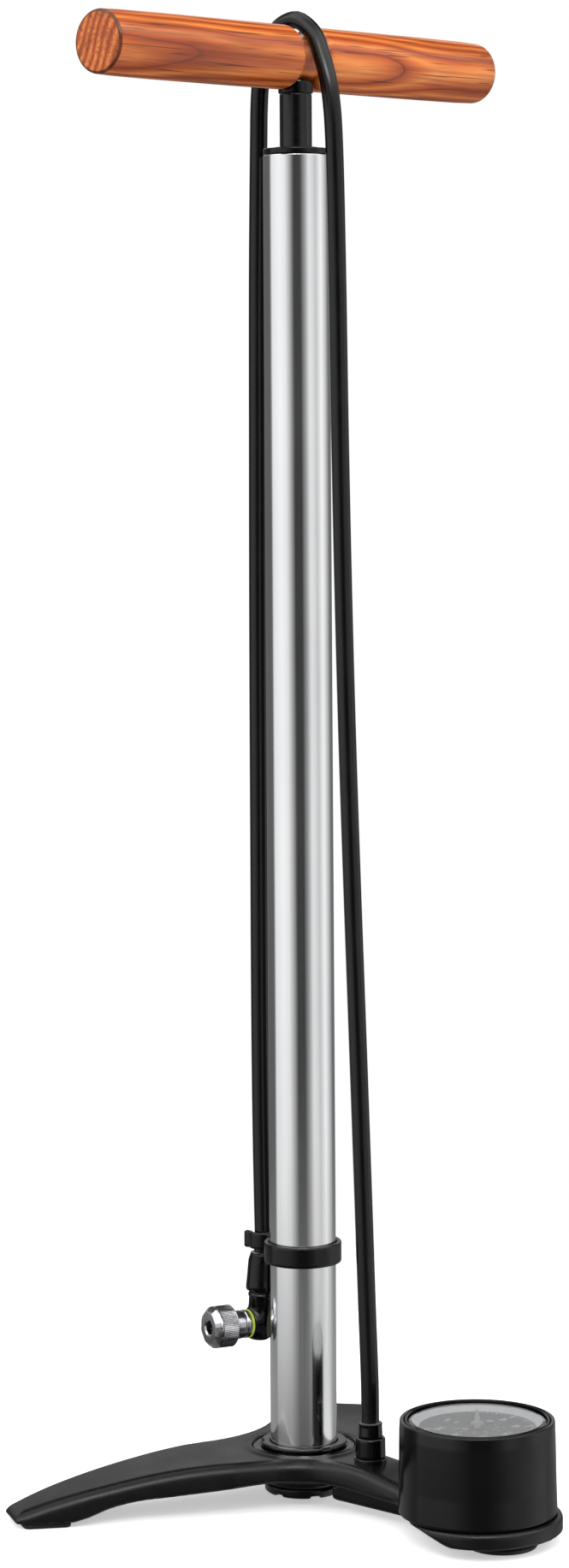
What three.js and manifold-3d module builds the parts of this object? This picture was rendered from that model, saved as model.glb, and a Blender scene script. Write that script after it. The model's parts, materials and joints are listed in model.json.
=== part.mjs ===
// Floor pump: a three-legged cast base, a tall barrel with a sliding plunger and a wooden T handle,
// a pressure gauge on the front leg, and a hose that is stowed over the handle.
//
// Units are millimetres and +Z is up. Every piece is built in the pump frame, whose origin lies on the
// floor under the barrel's axis. The handle runs along X and the gauge leg runs along -Y. The last lines
// move the whole group so that the object stands with its box's bottom centre at the origin.

import * as THREE from 'three';
import { mergeVertices } from 'three/addons/utils/BufferGeometryUtils.js';
import Module from 'manifold-3d';

const wasm = await Module();
wasm.setup();

// ---------------------------------------------------------------- driving dimensions

const GAP = 0.3; // clearance between pieces that touch in the real object
const ROUND = 24; // facets of a round piece of barrel size
const SMALL_ROUND = 16; // facets of a small round piece
const GAUGE_ROUND = 32; // facets of the gauge's round pieces
const OVERCUT = 1; // how far a cutting tool runs past the face that it cuts

// barrel
const BARREL_R = 15.8;
const BARREL_WALL = 1.4;
const BARREL_FOOT_Z = 17;
const BARREL_TOP_Z = 639;
const BORE_R = BARREL_R - BARREL_WALL;

// plunger
const ROD_R = 7.7;
const ROD_WALL = 1.5;
const ROD_FOOT_Z = 52;
const ROD_TOP_Z = 668;
const PISTON_H = 18;
const PISTON_GAP = 0.4;

// top cap
const CAP_H = 2.9;
const CAP_SKIRT_H = 14;

// handle
const HANDLE_Z = 685.3;
const HANDLE_HALF = 133.2;
const HANDLE_R = 15.4;
const HANDLE_END_R = 14.85;
const NOTCH_HALF = 7;
const NOTCH_R = 11;
const NOTCH_SHOULDER = HANDLE_R - NOTCH_R;

// base casting
const HUB_TOP_Z = 25;
const HUB_FLOOR_Z = 16;
const HUB_UNDER_Z = 12.8;
const WEB_UNDER_Z = 15;
const HUB_BOSS_R = 19;
const HUB_BOSS_Z = 8.6;
const RECESS_R = 24.5;
const RECESS_Z = 23.2;
const LEG_ANGLES = { left: 150, rear: 33 };
const GAUGE_LEG_ANGLE = -90;
const GAUGE_LEG_HALF = 15.5;
const LEG_REACH = 142.5;
const PAD_H = 2.5;
const PAD_R = 17;
const PAD_CENTRE = 119;

// gauge
const GAUGE_Y = -107;
const GAUGE_FLOOR_Z = 13.3;
const GAUGE_TOP_Z = 55.6;
const GAUGE_TOP_R = 35.6;
const GAUGE_FOOT_R = 36.5;
const LENS_R = 33;
const LENS_Z = 53;
const LENS_H = 2;
const DIAL_Z = 50.5;
const NEEDLE_Z = 51.5;
const NEEDLE_REACH = 25;
const NEEDLE_REST = -50; // direction of the needle at zero pressure, in degrees from +Y
const SECTOR_PIVOT = 12.5;

// hose, its socket, its clip and the pump head
const HOSE_R = 4.6;
const SOCKET_Y = -42;
const CLIP_Z = 118.3;
const CLIP_H = 10;
const CLIP_WALL = 2.4;
const CLIP_HOSE_Y = 25.3;
const HEAD = new THREE.Vector3(0, 28, 79); // where the hose's axis meets the chuck's axis
const HEAD_LEAN = 3.7; // degrees that the hanging hose leans towards the barrel
const CHUCK_ANGLE = 162; // direction that the chuck points in, in degrees from +X
const CHUCK_R = 5.9;
const COLLAR_R = 9.85;
const COLLAR_START = 16.2;
const COLLAR_LENGTH = 12.3;

// ---------------------------------------------------------------- materials

const finish = (color, roughness, metalness) =>
  new THREE.MeshStandardMaterial({ color, roughness, metalness });
const POLISHED_STEEL = finish(0xc9cbce, 0.18, 1);
const BLACK_ANODISED = finish(0x17181a, 0.3, 0.6);
const BLACK_PAINT = finish(0x1b1b1d, 0.45, 0.1);
const BLACK_RUBBER = finish(0x141416, 0.6, 0);
const BLACK_PLASTIC = finish(0x19191b, 0.5, 0);
const VARNISHED_WOOD = finish(0xb25a26, 0.35, 0);
const BRIGHT_METAL = finish(0xb9bcc0, 0.25, 1);
const BRASS = finish(0xb08d4a, 0.35, 1);
const LIME_RING = finish(0xb7cf3a, 0.4, 0);
const CLEAR_GLASS = finish(0xdfe6e8, 0.05, 0);
const DIAL_FACE = finish(0x3a3c3f, 0.6, 0);
const NEEDLE_RED = finish(0xc8321e, 0.5, 0);

// ---------------------------------------------------------------- geometry helpers

const radians = THREE.MathUtils.degToRad;

// Merges shared vertices, drops triangles without area and turns the faces outwards.
function closed(geometry) {
  const bare = geometry.clone();
  bare.deleteAttribute('normal');
  bare.deleteAttribute('uv');
  const merged = mergeVertices(bare, 1e-4);
  const source = merged.index.array;
  const position = merged.attributes.position;
  const corner = [new THREE.Vector3(), new THREE.Vector3(), new THREE.Vector3()];
  const kept = [];
  let volume = 0;
  for (let i = 0; i < source.length; i += 3) {
    const [a, b, c] = source.slice(i, i + 3);
    if (a === b || b === c || a === c) continue;
    kept.push(a, b, c);
    [a, b, c].forEach((vertex, k) => corner[k].fromBufferAttribute(position, vertex));
    volume += corner[0].dot(corner[1].clone().cross(corner[2]));
  }
  if (volume < 0) {
    for (let i = 0; i < kept.length; i += 3) [kept[i], kept[i + 1]] = [kept[i + 1], kept[i]];
  }
  merged.setIndex(kept);
  return merged;
}

function toSolid(geometry) {
  const shell = closed(geometry);
  const vertProperties = new Float32Array(shell.attributes.position.array);
  const triVerts = new Uint32Array(shell.index.array);
  return new wasm.Manifold(new wasm.Mesh({ numProp: 3, vertProperties, triVerts }));
}

function toGeometry(solid) {
  const mesh = solid.getMesh();
  const geometry = new THREE.BufferGeometry();
  geometry.setAttribute('position', new THREE.BufferAttribute(mesh.vertProperties, 3));
  geometry.setIndex(new THREE.BufferAttribute(mesh.triVerts, 1));
  return geometry;
}

// Joins the geometries in `added` and cuts away those in `removed`.
function carve(added, removed = []) {
  let solid = toSolid(added[0]);
  for (const geometry of added.slice(1)) solid = solid.add(toSolid(geometry));
  for (const geometry of removed) solid = solid.subtract(toSolid(geometry));
  return toGeometry(solid);
}

// Turns a closed outline of [radius, z] points round the Z axis.
function turned(outline, facets = ROUND) {
  const points = outline.map(([r, z]) => new THREE.Vector2(r, z));
  if (outline[0][0] > 0 || outline.at(-1)[0] > 0) points.push(points[0].clone());
  return closed(new THREE.LatheGeometry(points, facets).rotateX(Math.PI / 2));
}

const ring = (inner, outer, low, high, facets = ROUND) =>
  turned([[inner, low], [outer, low], [outer, high], [inner, high]], facets);

const disc = (radius, low, high, facets = ROUND) =>
  turned([[0, low], [radius, low], [radius, high], [0, high]], facets);

const block = (x, y, z, wide, deep, tall) => new THREE.BoxGeometry(wide, deep, tall).translate(x, y, z);

// An upright prism over a plan outline.
function prism(outline, low, high) {
  const shape = new THREE.Shape(outline.map(([x, y]) => new THREE.Vector2(x, y)));
  const geometry = new THREE.ExtrudeGeometry(shape, { depth: high - low, bevelEnabled: false });
  return geometry.translate(0, 0, low);
}

// A tube of `sides` flats along points in the pump frame.
function tubeAlong(points, radius, sides, steps) {
  const circle = [...Array(sides).keys()].map((i) => {
    const angle = (2 * Math.PI * (i + 0.5)) / sides;
    return new THREE.Vector2(radius * Math.cos(angle), radius * Math.sin(angle));
  });
  const extrudePath = new THREE.CatmullRomCurve3(points, false, 'centripetal');
  return new THREE.ExtrudeGeometry(new THREE.Shape(circle), { steps, extrudePath, bevelEnabled: false });
}

function piece(name, geometry, material, [x, y, z] = [0, 0, 0]) {
  const mesh = new THREE.Mesh(closed(geometry), material);
  mesh.name = name;
  mesh.position.set(x, y, z);
  return mesh;
}

// ---------------------------------------------------------------- barrel and cap

const barrelTube = () =>
  piece('barrel_tube', ring(BORE_R, BARREL_R, BARREL_FOOT_Z, BARREL_TOP_Z), POLISHED_STEEL);

// The cap's skirt plugs the barrel, and its head covers the barrel's edge.
function topCap() {
  const head = BARREL_TOP_Z + GAP;
  const skirt = BORE_R - GAP;
  const bush = ROD_R + 3;
  const outline = [
    [bush, head - CAP_SKIRT_H], [skirt, head - CAP_SKIRT_H], [skirt, head],
    [BARREL_R - 0.1, head], [BARREL_R - 0.1, head + CAP_H], [bush, head + CAP_H],
  ];
  return piece('top_cap', turned(outline), BLACK_PLASTIC);
}

const capBush = () => {
  const low = BARREL_TOP_Z - CAP_SKIRT_H;
  return piece('cap_bush', ring(ROD_R + GAP, ROD_R + 3 - GAP, low, BARREL_TOP_Z), BLACK_PLASTIC);
};

const rodWiper = () => {
  const low = BARREL_TOP_Z + GAP;
  return piece('rod_wiper', ring(ROD_R + GAP, ROD_R + 3 - GAP, low, low + CAP_H + 0.6), BLACK_RUBBER);
};

// ---------------------------------------------------------------- plunger

const plungerRod = () =>
  piece('plunger_rod', ring(ROD_R - ROD_WALL, ROD_R, ROD_FOOT_Z + GAP, ROD_TOP_Z), BLACK_ANODISED);

// The piston carries a seal and a guide ring in two grooves, and a spigot that fills the rod's end.
function pistonHead() {
  const face = ROD_FOOT_Z - PISTON_H;
  const outer = BORE_R - PISTON_GAP;
  const groove = outer - 2.6;
  const spigot = ROD_R - ROD_WALL - GAP;
  const outline = [
    [0, face + 3], [3.4, face + 3], [3.4, face], [outer, face], [outer, face + 2], [groove, face + 2],
    [groove, face + 6], [outer, face + 6], [outer, face + 9], [groove, face + 9], [groove, face + 15],
    [outer, face + 15], [outer, ROD_FOOT_Z], [spigot, ROD_FOOT_Z], [spigot, ROD_FOOT_Z + 14],
    [0, ROD_FOOT_Z + 14],
  ];
  return piece('piston_head', turned(outline), BLACK_PLASTIC);
}

function pistonRing(name, low, high, material) {
  const face = ROD_FOOT_Z - PISTON_H;
  const inner = BORE_R - PISTON_GAP - 2.6 + GAP;
  return piece(name, ring(inner, BORE_R - GAP, face + low + GAP, face + high - GAP), material);
}

const pistonScrew = () => {
  const face = ROD_FOOT_Z - PISTON_H;
  return piece('piston_screw', disc(3.1, face - 1.2, face + 2.7, SMALL_ROUND), BRIGHT_METAL);
};

const topOutBumper = () =>
  piece('top_out_bumper', ring(ROD_R + GAP, 12.4, ROD_FOOT_Z + GAP, ROD_FOOT_Z + 9), BLACK_RUBBER);

const rodPlug = () =>
  piece('rod_plug', ring(3.3, ROD_R - ROD_WALL - GAP, ROD_TOP_Z - 30, ROD_TOP_Z, SMALL_ROUND), BRIGHT_METAL);

const handleFerrule = () => {
  const top = HANDLE_Z - NOTCH_R - GAP;
  return piece('handle_ferrule', ring(3.5, ROD_R + 0.6, ROD_TOP_Z + GAP, top), BLACK_ANODISED);
};

// ---------------------------------------------------------------- handle

// Half of the bar's outline as [distance from the middle, radius], with the hose's notch at the middle.
function handleOutline() {
  const points = [[0, NOTCH_R], [NOTCH_HALF, NOTCH_R]];
  for (const step of [1, 2, 3, 4]) {
    const angle = (Math.PI / 2) * (step / 4);
    const along = NOTCH_HALF + NOTCH_SHOULDER * (1 - Math.cos(angle));
    points.push([along, NOTCH_R + NOTCH_SHOULDER * Math.sin(angle)]);
  }
  points.push([HANDLE_HALF - 40, HANDLE_R], [HANDLE_HALF - 12, HANDLE_R - 0.2]);
  points.push([HANDLE_HALF - 0.8, HANDLE_END_R], [HANDLE_HALF, HANDLE_END_R - 0.9], [HANDLE_HALF, 0]);
  return points;
}

function handleBar() {
  const half = handleOutline();
  const mirrored = half.slice(1).reverse().map(([along, r]) => [-along, r]);
  const bar = turned([...mirrored, ...half].map(([along, r]) => [r, along])).rotateY(Math.PI / 2);
  const shank = disc(3.5, -HANDLE_R, HANDLE_R, SMALL_ROUND);
  const counterbore = disc(6.2, NOTCH_R - 5, HANDLE_R, SMALL_ROUND);
  const ferrulePocket = disc(ROD_R + 0.6 + GAP, -HANDLE_R - OVERCUT, -NOTCH_R);
  const drilled = carve([bar], [shank, counterbore, ferrulePocket]);
  return piece('handle_bar', drilled, VARNISHED_WOOD, [0, 0, HANDLE_Z]);
}

const handleWasher = () => {
  const low = HANDLE_Z + NOTCH_R - 5 + GAP;
  return piece('handle_washer', ring(3.4, 5.8, low, low + 0.8, SMALL_ROUND), BRIGHT_METAL);
};

// The bolt clamps the bar to the plug in the rod.
function handleBolt() {
  const seat = HANDLE_Z + NOTCH_R - 5 + 2 * GAP + 0.8;
  const outline = [
    [0, ROD_TOP_Z - 24], [3, ROD_TOP_Z - 24], [3, seat], [5, seat], [5, seat + 3.4],
    [2.4, seat + 3.4], [2.4, seat + 1.4], [0, seat + 1.4],
  ];
  return piece('handle_bolt', turned(outline, SMALL_ROUND), BRIGHT_METAL);
}

// ---------------------------------------------------------------- base casting

// Unit vectors along a leg and across it.
function legFrame(angle) {
  const along = new THREE.Vector2(Math.cos(radians(angle)), Math.sin(radians(angle)));
  return { along, across: new THREE.Vector2(-along.y, along.x) };
}

// A point on a leg's edge, at a distance from the barrel's axis along the leg and beside its middle.
function legPoint(angle, r, side) {
  const { along, across } = legFrame(angle);
  return along.clone().multiplyScalar(r).addScaledVector(across, side);
}

// The plan outline of a plain leg: half widths at distances from the barrel's axis.
const LEG_HALF_WIDTHS = [
  [0, 26], [26, 26.6], [42, 25.2], [60, 23], [80, 20.4], [100, 18.2], [120, 15.4], [136, 12.6],
];
const LEG_TIP_HALF = 10.8;

function legPlan(angle) {
  const at = (r, side) => legPoint(angle, r, side).toArray();
  const right = LEG_HALF_WIDTHS.map(([r, half]) => at(r, -half));
  const left = LEG_HALF_WIDTHS.map(([r, half]) => at(r, half)).reverse();
  return [...right, at(LEG_REACH, -LEG_TIP_HALF), at(LEG_REACH, LEG_TIP_HALF), ...left];
}

// The side view of a plain leg, as [distance, height]: an arch that ends in a flat foot.
const LEG_TOP = [
  [0, HUB_TOP_Z], [44, HUB_TOP_Z], [62, 24], [80, 21.8], [98, 18.7], [113, 15.6], [128, 11.8],
  [LEG_REACH, 7.2],
];
const LEG_UNDER = [
  [LEG_REACH, 3.2], [140.5, PAD_H + GAP], [116.5, PAD_H + GAP], [111, 4.2], [100, 8.2], [91, 10.1],
  [70, 11.8], [50, 13.2], [26, WEB_UNDER_Z], [0, WEB_UNDER_Z],
];

// A prism across a leg, from its side view.
function legSide(outline, angle, halfWidth) {
  const shape = new THREE.Shape(outline.map(([r, z]) => new THREE.Vector2(r, z)));
  const geometry = new THREE.ExtrudeGeometry(shape, { depth: 2 * halfWidth, bevelEnabled: false });
  // the outline's x runs along the leg and its y runs up
  geometry.translate(0, 0, -halfWidth).rotateX(Math.PI / 2);
  return geometry.rotateZ(radians(angle));
}

// A web fills the concave corner between two legs with a curve that is tangent to both edges. Each
// edge is given as [leg's angle, side of the leg, distance where the curve leaves the edge].
function web(from, to) {
  const [start, end] = [from, to].map(([angle, side, r]) => legPoint(angle, r, side));
  const [u, v] = [from, to].map(([angle]) => legFrame(angle).along);
  const back = ((end.x - start.x) * v.y - (end.y - start.y) * v.x) / (u.x * v.y - u.y * v.x);
  const corner = start.clone().addScaledVector(u, back);
  const curve = new THREE.QuadraticBezierCurve(start, corner, end).getPoints(8);
  return prism([[0, 0], ...curve.map((point) => [point.x, point.y])], WEB_UNDER_Z, HUB_TOP_Z - 0.4);
}

function webs() {
  const { left, rear } = LEG_ANGLES;
  return [
    web([left, 26, 26], [GAUGE_LEG_ANGLE, -GAUGE_LEG_HALF, 46]),
    web([GAUGE_LEG_ANGLE, GAUGE_LEG_HALF, 46], [rear, -26, 26]),
    web([rear, 24.2, 54], [left, -24.2, 54]),
  ];
}

function plainLeg(angle) {
  const plan = toSolid(prism(legPlan(angle), 0, HUB_TOP_Z + OVERCUT));
  const side = toSolid(legSide([...LEG_TOP, ...LEG_UNDER], angle, 40));
  return toGeometry(plan.intersect(side));
}

const TRAY_R = 37;
const TRAY_Y = GAUGE_Y - 2.4;
const TRAY_TOP_Z = GAUGE_FLOOR_Z - GAP;

// The neck from the hub to the gauge, and the tray whose underside rises towards the hub.
function gaugeLeg() {
  const neckTop = [[0, HUB_TOP_Z], [30, HUB_TOP_Z], [50, 24], [64, 21.6], [84, 18.6]];
  const neckUnder = [[84, 11.4], [60, 12.8], [40, 14], [26, WEB_UNDER_Z], [0, WEB_UNDER_Z]];
  const neck = toSolid(legSide([...neckTop, ...neckUnder], GAUGE_LEG_ANGLE, GAUGE_LEG_HALF));
  const foot = PAD_H + GAP;
  const tray = toSolid(turned([
    [0, foot], [26, foot], [TRAY_R - 3, 4.4], [TRAY_R, 6.4], [TRAY_R, TRAY_TOP_Z - 1.4],
    [TRAY_R - 0.9, TRAY_TOP_Z], [0, TRAY_TOP_Z],
  ], GAUGE_ROUND).translate(0, TRAY_Y, 0));
  const far = -TRAY_Y + TRAY_R + OVERCUT;
  const rise = [
    [60, 12.8], [84, 11.4], [94, 7.8], [103, foot], [far, foot], [far, TRAY_TOP_Z], [60, TRAY_TOP_Z],
  ];
  const trayCut = tray.intersect(toSolid(legSide(rise, GAUGE_LEG_ANGLE, TRAY_R + OVERCUT)));
  const cup = disc(GAUGE_FOOT_R + GAP, TRAY_TOP_Z, GAUGE_TOP_Z, GAUGE_ROUND).translate(0, GAUGE_Y, 0);
  return toGeometry(neck.add(trayCut).subtract(toSolid(cup)));
}

const STEM_Y = GAUGE_Y + 15;
const SEAT_R = 6;
const PLUG_NECK_R = 12;

function baseCasting() {
  const hub = disc(27, HUB_UNDER_Z, HUB_TOP_Z);
  const boss = disc(HUB_BOSS_R, HUB_BOSS_Z, 14);
  const recess = disc(RECESS_R, RECESS_Z, HUB_TOP_Z + OVERCUT);
  const socket = disc(BARREL_R + GAP, HUB_FLOOR_Z, HUB_TOP_Z + OVERCUT);
  const plugBore = disc(PLUG_NECK_R + GAP, HUB_BOSS_Z - OVERCUT, 12.6);
  const valveBore = disc(SEAT_R + GAP, 12, HUB_FLOOR_Z + OVERCUT, SMALL_ROUND);
  const hoseBore = disc(4.3, 10, HUB_TOP_Z + OVERCUT, SMALL_ROUND).translate(0, SOCKET_Y, 0);
  const stemBore = disc(4.3, 10.7, HUB_TOP_Z, SMALL_ROUND).translate(0, STEM_Y, 0);
  const legs = [plainLeg(LEG_ANGLES.left), plainLeg(LEG_ANGLES.rear), gaugeLeg()];
  const bores = [recess, socket, plugBore, valveBore, hoseBore, stemBore];
  return piece('base_casting', carve([hub, boss, ...webs(), ...legs], bores), BLACK_PAINT);
}

// A rubber pad under a plain leg's foot.
function legPad(name, angle) {
  const at = (r, side) => legPoint(angle, r, side).toArray();
  const outline = [at(117.5, -13.4), at(139.5, -10.2), at(139.5, 10.2), at(117.5, 13.4)];
  return piece(name, prism(outline, 0, PAD_H), BLACK_RUBBER);
}

const gaugePad = () => piece('foot_pad_gauge', disc(PAD_R, 0, PAD_H), BLACK_RUBBER, [0, -PAD_CENTRE, 0]);

function barrelSeatRing() {
  const body = ring(BARREL_R + GAP, RECESS_R - GAP, RECESS_Z + GAP, HUB_TOP_Z + 0.4);
  return piece('barrel_seat_ring', body, BLACK_PLASTIC);
}

// The lock ring has three slots for a peg spanner.
function barrelLockRing() {
  const low = HUB_TOP_Z + 0.4 + GAP;
  const body = ring(BARREL_R + GAP, 20.4, low, low + 1.9);
  const slots = [15, 135, 255].map((angle) => block(20.4, 0, low + 2, 3, 5, 4).rotateZ(radians(angle)));
  return piece('barrel_lock_ring', carve([body], slots), BLACK_ANODISED);
}

function barrelGasket() {
  const body = ring(BORE_R - 1, BARREL_R - 0.2, HUB_FLOOR_Z + 0.1, BARREL_FOOT_Z - 0.1);
  return piece('barrel_gasket', body, BLACK_RUBBER);
}

// ---------------------------------------------------------------- check valve under the hub

// A plug with spanner notches closes the valve chamber from below.
function hubPlug() {
  const low = 3.7;
  const flange = HUB_BOSS_Z - GAP;
  const neck = PLUG_NECK_R;
  const body = turned([
    [0, low], [HUB_BOSS_R - 1.4, low], [HUB_BOSS_R - 0.4, low + 1], [HUB_BOSS_R - 0.4, flange],
    [neck, flange], [neck, 12.2], [SEAT_R + 1, 12.2], [SEAT_R + 1, 6.4], [0, 6.4],
  ]);
  const notches = [0, 60, 120].map((angle) => block(0, 0, low, 60, 5, 2.6).rotateZ(radians(angle)));
  const core = disc(PLUG_NECK_R, low, low + 4);
  const cutters = notches.map((notch) => toGeometry(toSolid(notch).subtract(toSolid(core))));
  return piece('hub_plug', carve([body], cutters), BLACK_PLASTIC);
}

const checkValveSeat = () =>
  piece('check_valve_seat', ring(2.4, SEAT_R, 12.9, HUB_FLOOR_Z - 0.2, SMALL_ROUND), BRASS);

const POPPET_Z = 12.9 - GAP;

const checkValvePoppet = () => {
  const outline = [
    [0, POPPET_Z - 3.4], [1.6, POPPET_Z - 3.4], [1.6, POPPET_Z - 1.4], [4.4, POPPET_Z - 1.4],
    [4.4, POPPET_Z], [0, POPPET_Z],
  ];
  return piece('check_valve_poppet', turned(outline, SMALL_ROUND), BLACK_RUBBER);
};

// A coil spring that holds the poppet against its seat.
function checkValveSpring() {
  const turns = 3;
  const wire = 0.4;
  const low = 6.4 + GAP + wire;
  const high = POPPET_Z - 1.4 - GAP - wire;
  const count = turns * 8;
  const points = [...Array(count + 1).keys()].map((i) => {
    const angle = (2 * Math.PI * turns * i) / count;
    return new THREE.Vector3(3.2 * Math.cos(angle), 3.2 * Math.sin(angle), low + ((high - low) * i) / count);
  });
  return piece('check_valve_spring', tubeAlong(points, wire, 6, count), BRIGHT_METAL);
}

// The air passage runs in a rib under the gauge leg, closed by a cover and two screws.
const COVER_Z = 4.8;

function airPassageCover() {
  const outline = [
    [24, COVER_Z + 0.4], [26, COVER_Z], [72, COVER_Z], [74, 7], [74, 11.7], [60, 12.5], [40, 13.5],
    [27.4, 14.4], [27.4, HUB_UNDER_Z - GAP], [24, HUB_UNDER_Z - GAP],
  ];
  return piece('air_passage_cover', legSide(outline, GAUGE_LEG_ANGLE, 8), BLACK_PLASTIC);
}

const passageScrew = (name, y) => {
  const head = disc(2.6, COVER_Z - GAP - 1.2, COVER_Z - GAP, SMALL_ROUND);
  return piece(name, head, BRIGHT_METAL, [0, y, 0]);
};

// ---------------------------------------------------------------- gauge

function gaugeHousing() {
  const floor = GAUGE_FLOOR_Z + 2.4;
  const seat = LENS_Z - 1.6;
  const outline = [
    [4.3, GAUGE_FLOOR_Z], [GAUGE_FOOT_R - 0.8, GAUGE_FLOOR_Z], [GAUGE_FOOT_R, GAUGE_FLOOR_Z + 0.8],
    [GAUGE_TOP_R, GAUGE_TOP_Z - 0.7], [GAUGE_TOP_R - 0.6, GAUGE_TOP_Z], [LENS_R + 0.6, GAUGE_TOP_Z],
    [LENS_R + 0.6, seat], [LENS_R - 2, seat], [LENS_R - 2, seat - 2], [LENS_R, seat - 4],
    [LENS_R, floor], [4.3, floor],
  ];
  const wall = turned(outline, GAUGE_ROUND);
  const stemShift = STEM_Y - GAUGE_Y;
  const centreFill = disc(6, GAUGE_FLOOR_Z, floor, SMALL_ROUND);
  const stemHole = disc(4.3, GAUGE_FLOOR_Z - OVERCUT, floor + OVERCUT, SMALL_ROUND);
  stemHole.translate(0, stemShift, 0);
  return piece('gauge_housing', carve([wall, centreFill], [stemHole]), BLACK_PLASTIC, [0, GAUGE_Y, 0]);
}

function lensGasket() {
  const body = ring(LENS_R - 1.8, LENS_R, LENS_Z - 1.3, LENS_Z - GAP, GAUGE_ROUND);
  return piece('lens_gasket', body, BLACK_RUBBER, [0, GAUGE_Y, 0]);
}

// The bezel stands round the lens, and its thin lip holds the lens down.
function gaugeBezel() {
  const lip = LENS_Z + LENS_H + GAP;
  const outer = LENS_R + GAP;
  const inner = outer - 0.8;
  const body = turned([
    [inner, LENS_Z], [outer, LENS_Z], [outer, GAUGE_TOP_Z], [inner - 0.6, GAUGE_TOP_Z], [inner - 0.6, lip],
    [inner, lip],
  ], GAUGE_ROUND);
  return piece('gauge_bezel', body, BLACK_ANODISED, [0, GAUGE_Y, 0]);
}

const gaugeLens = () =>
  piece('gauge_lens', disc(LENS_R - 0.8, LENS_Z, LENS_Z + LENS_H, GAUGE_ROUND), CLEAR_GLASS, [0, GAUGE_Y, 0]);

const DIAL_SCREW_X = 9;

function gaugeDial() {
  const face = disc(LENS_R - 2.3, DIAL_Z - 0.8, DIAL_Z, GAUGE_ROUND);
  const holes = [-DIAL_SCREW_X, DIAL_SCREW_X].map((x) => disc(1.4, 40, 60, SMALL_ROUND).translate(x, 0, 0));
  const staffHole = disc(1.8, 40, 60, SMALL_ROUND);
  return piece('gauge_dial', carve([face], [...holes, staffHole]), DIAL_FACE, [0, GAUGE_Y, 0]);
}

function dialScrew(name, x) {
  const under = DIAL_Z + GAP;
  const top = DIAL_Z + 0.7;
  const outline = [[0, 39.2], [1.1, 39.2], [1.1, under], [2, under], [2, top], [0, top]];
  return piece(name, turned(outline, SMALL_ROUND), BRIGHT_METAL, [x, GAUGE_Y, 0]);
}

function movementPlate() {
  const plate = block(0, 4, 38, 28, 28, 1.8);
  const staffHole = disc(1.6, 36, 40, SMALL_ROUND);
  return piece('movement_plate', carve([plate], [staffHole]), BRASS, [0, GAUGE_Y, 0]);
}

// The stem brings air up from the passage to the curved spring tube, and carries the movement.
function gaugeStem() {
  const pipe = disc(4, 11.4, 20, SMALL_ROUND).translate(0, STEM_Y, 0);
  const head = block(0, STEM_Y + 1, 26.5, 12, 10, 20.5);
  return piece('gauge_stem', carve([pipe, head]), BRASS);
}

function bourdonTube() {
  const points = [...Array(13).keys()].map((i) => {
    const angle = radians(112 + (290 * i) / 12);
    return new THREE.Vector3(20 * Math.cos(angle), 20 * Math.sin(angle), 28);
  });
  return piece('bourdon_tube', tubeAlong(points, 2.2, 6, 16), BRASS, [0, GAUGE_Y, 0]);
}

const PINION_R = 1.2;

// The sector swings about a pivot in front of the staff and turns the pinion on it.
function sectorGear() {
  const edge = SECTOR_PIVOT - PINION_R - GAP;
  const mid = 90 - 13;
  const points = [-24, -12, 0, 12, 24].map((turn) => {
    const angle = radians(mid + turn);
    return [edge * Math.cos(angle), edge * Math.sin(angle)];
  });
  const tail = [[-2.2, -2.6], [2.2, -2.6]];
  return piece('sector_gear', prism([...tail, ...points], 34.2, 36), BRASS, [0, GAUGE_Y - SECTOR_PIVOT, 0]);
}

function needlePinion() {
  const outline = [
    [0, 33.8], [PINION_R, 33.8], [PINION_R, 36.4], [0.9, 36.4], [0.9, NEEDLE_Z - GAP], [0, NEEDLE_Z - GAP],
  ];
  return piece('needle_pinion', turned(outline, SMALL_ROUND), BRASS, [0, GAUGE_Y, 0]);
}

// The needle rests at the low end of the scale.
function gaugeNeedle() {
  const taper = [[-1.4, -7], [1.4, -7], [0.5, NEEDLE_REACH], [-0.5, NEEDLE_REACH]];
  const pointer = prism(taper, NEEDLE_Z, NEEDLE_Z + 0.6);
  const hub = disc(3, NEEDLE_Z, NEEDLE_Z + 1.2, SMALL_ROUND);
  const needle = carve([pointer, hub]).rotateZ(radians(NEEDLE_REST));
  return piece('gauge_needle', needle, NEEDLE_RED, [0, GAUGE_Y, 0]);
}

// ---------------------------------------------------------------- hose socket, clip and pump head

// The fitting is screwed into the gauge leg. A nut and a boot hold the hose's end on it.
function hoseSocket() {
  const outline = [[0, 14], [4, 14], [4, HUB_TOP_Z + GAP], [7.7, HUB_TOP_Z + GAP], [7.7, 26.6], [0, 26.6]];
  return piece('hose_socket', turned(outline, SMALL_ROUND), BLACK_ANODISED, [0, SOCKET_Y, 0]);
}

const hoseSocketNut = () =>
  piece('hose_socket_nut', disc(7.15, 26.6 + GAP, 36.1, SMALL_ROUND), BLACK_PLASTIC, [0, SOCKET_Y, 0]);

const HOSE_FOOT_Z = 43;

const hoseBoot = () =>
  piece('hose_boot', disc(5.8, 36.1 + GAP, HOSE_FOOT_Z - GAP, SMALL_ROUND), BLACK_RUBBER, [0, SOCKET_Y, 0]);

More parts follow.
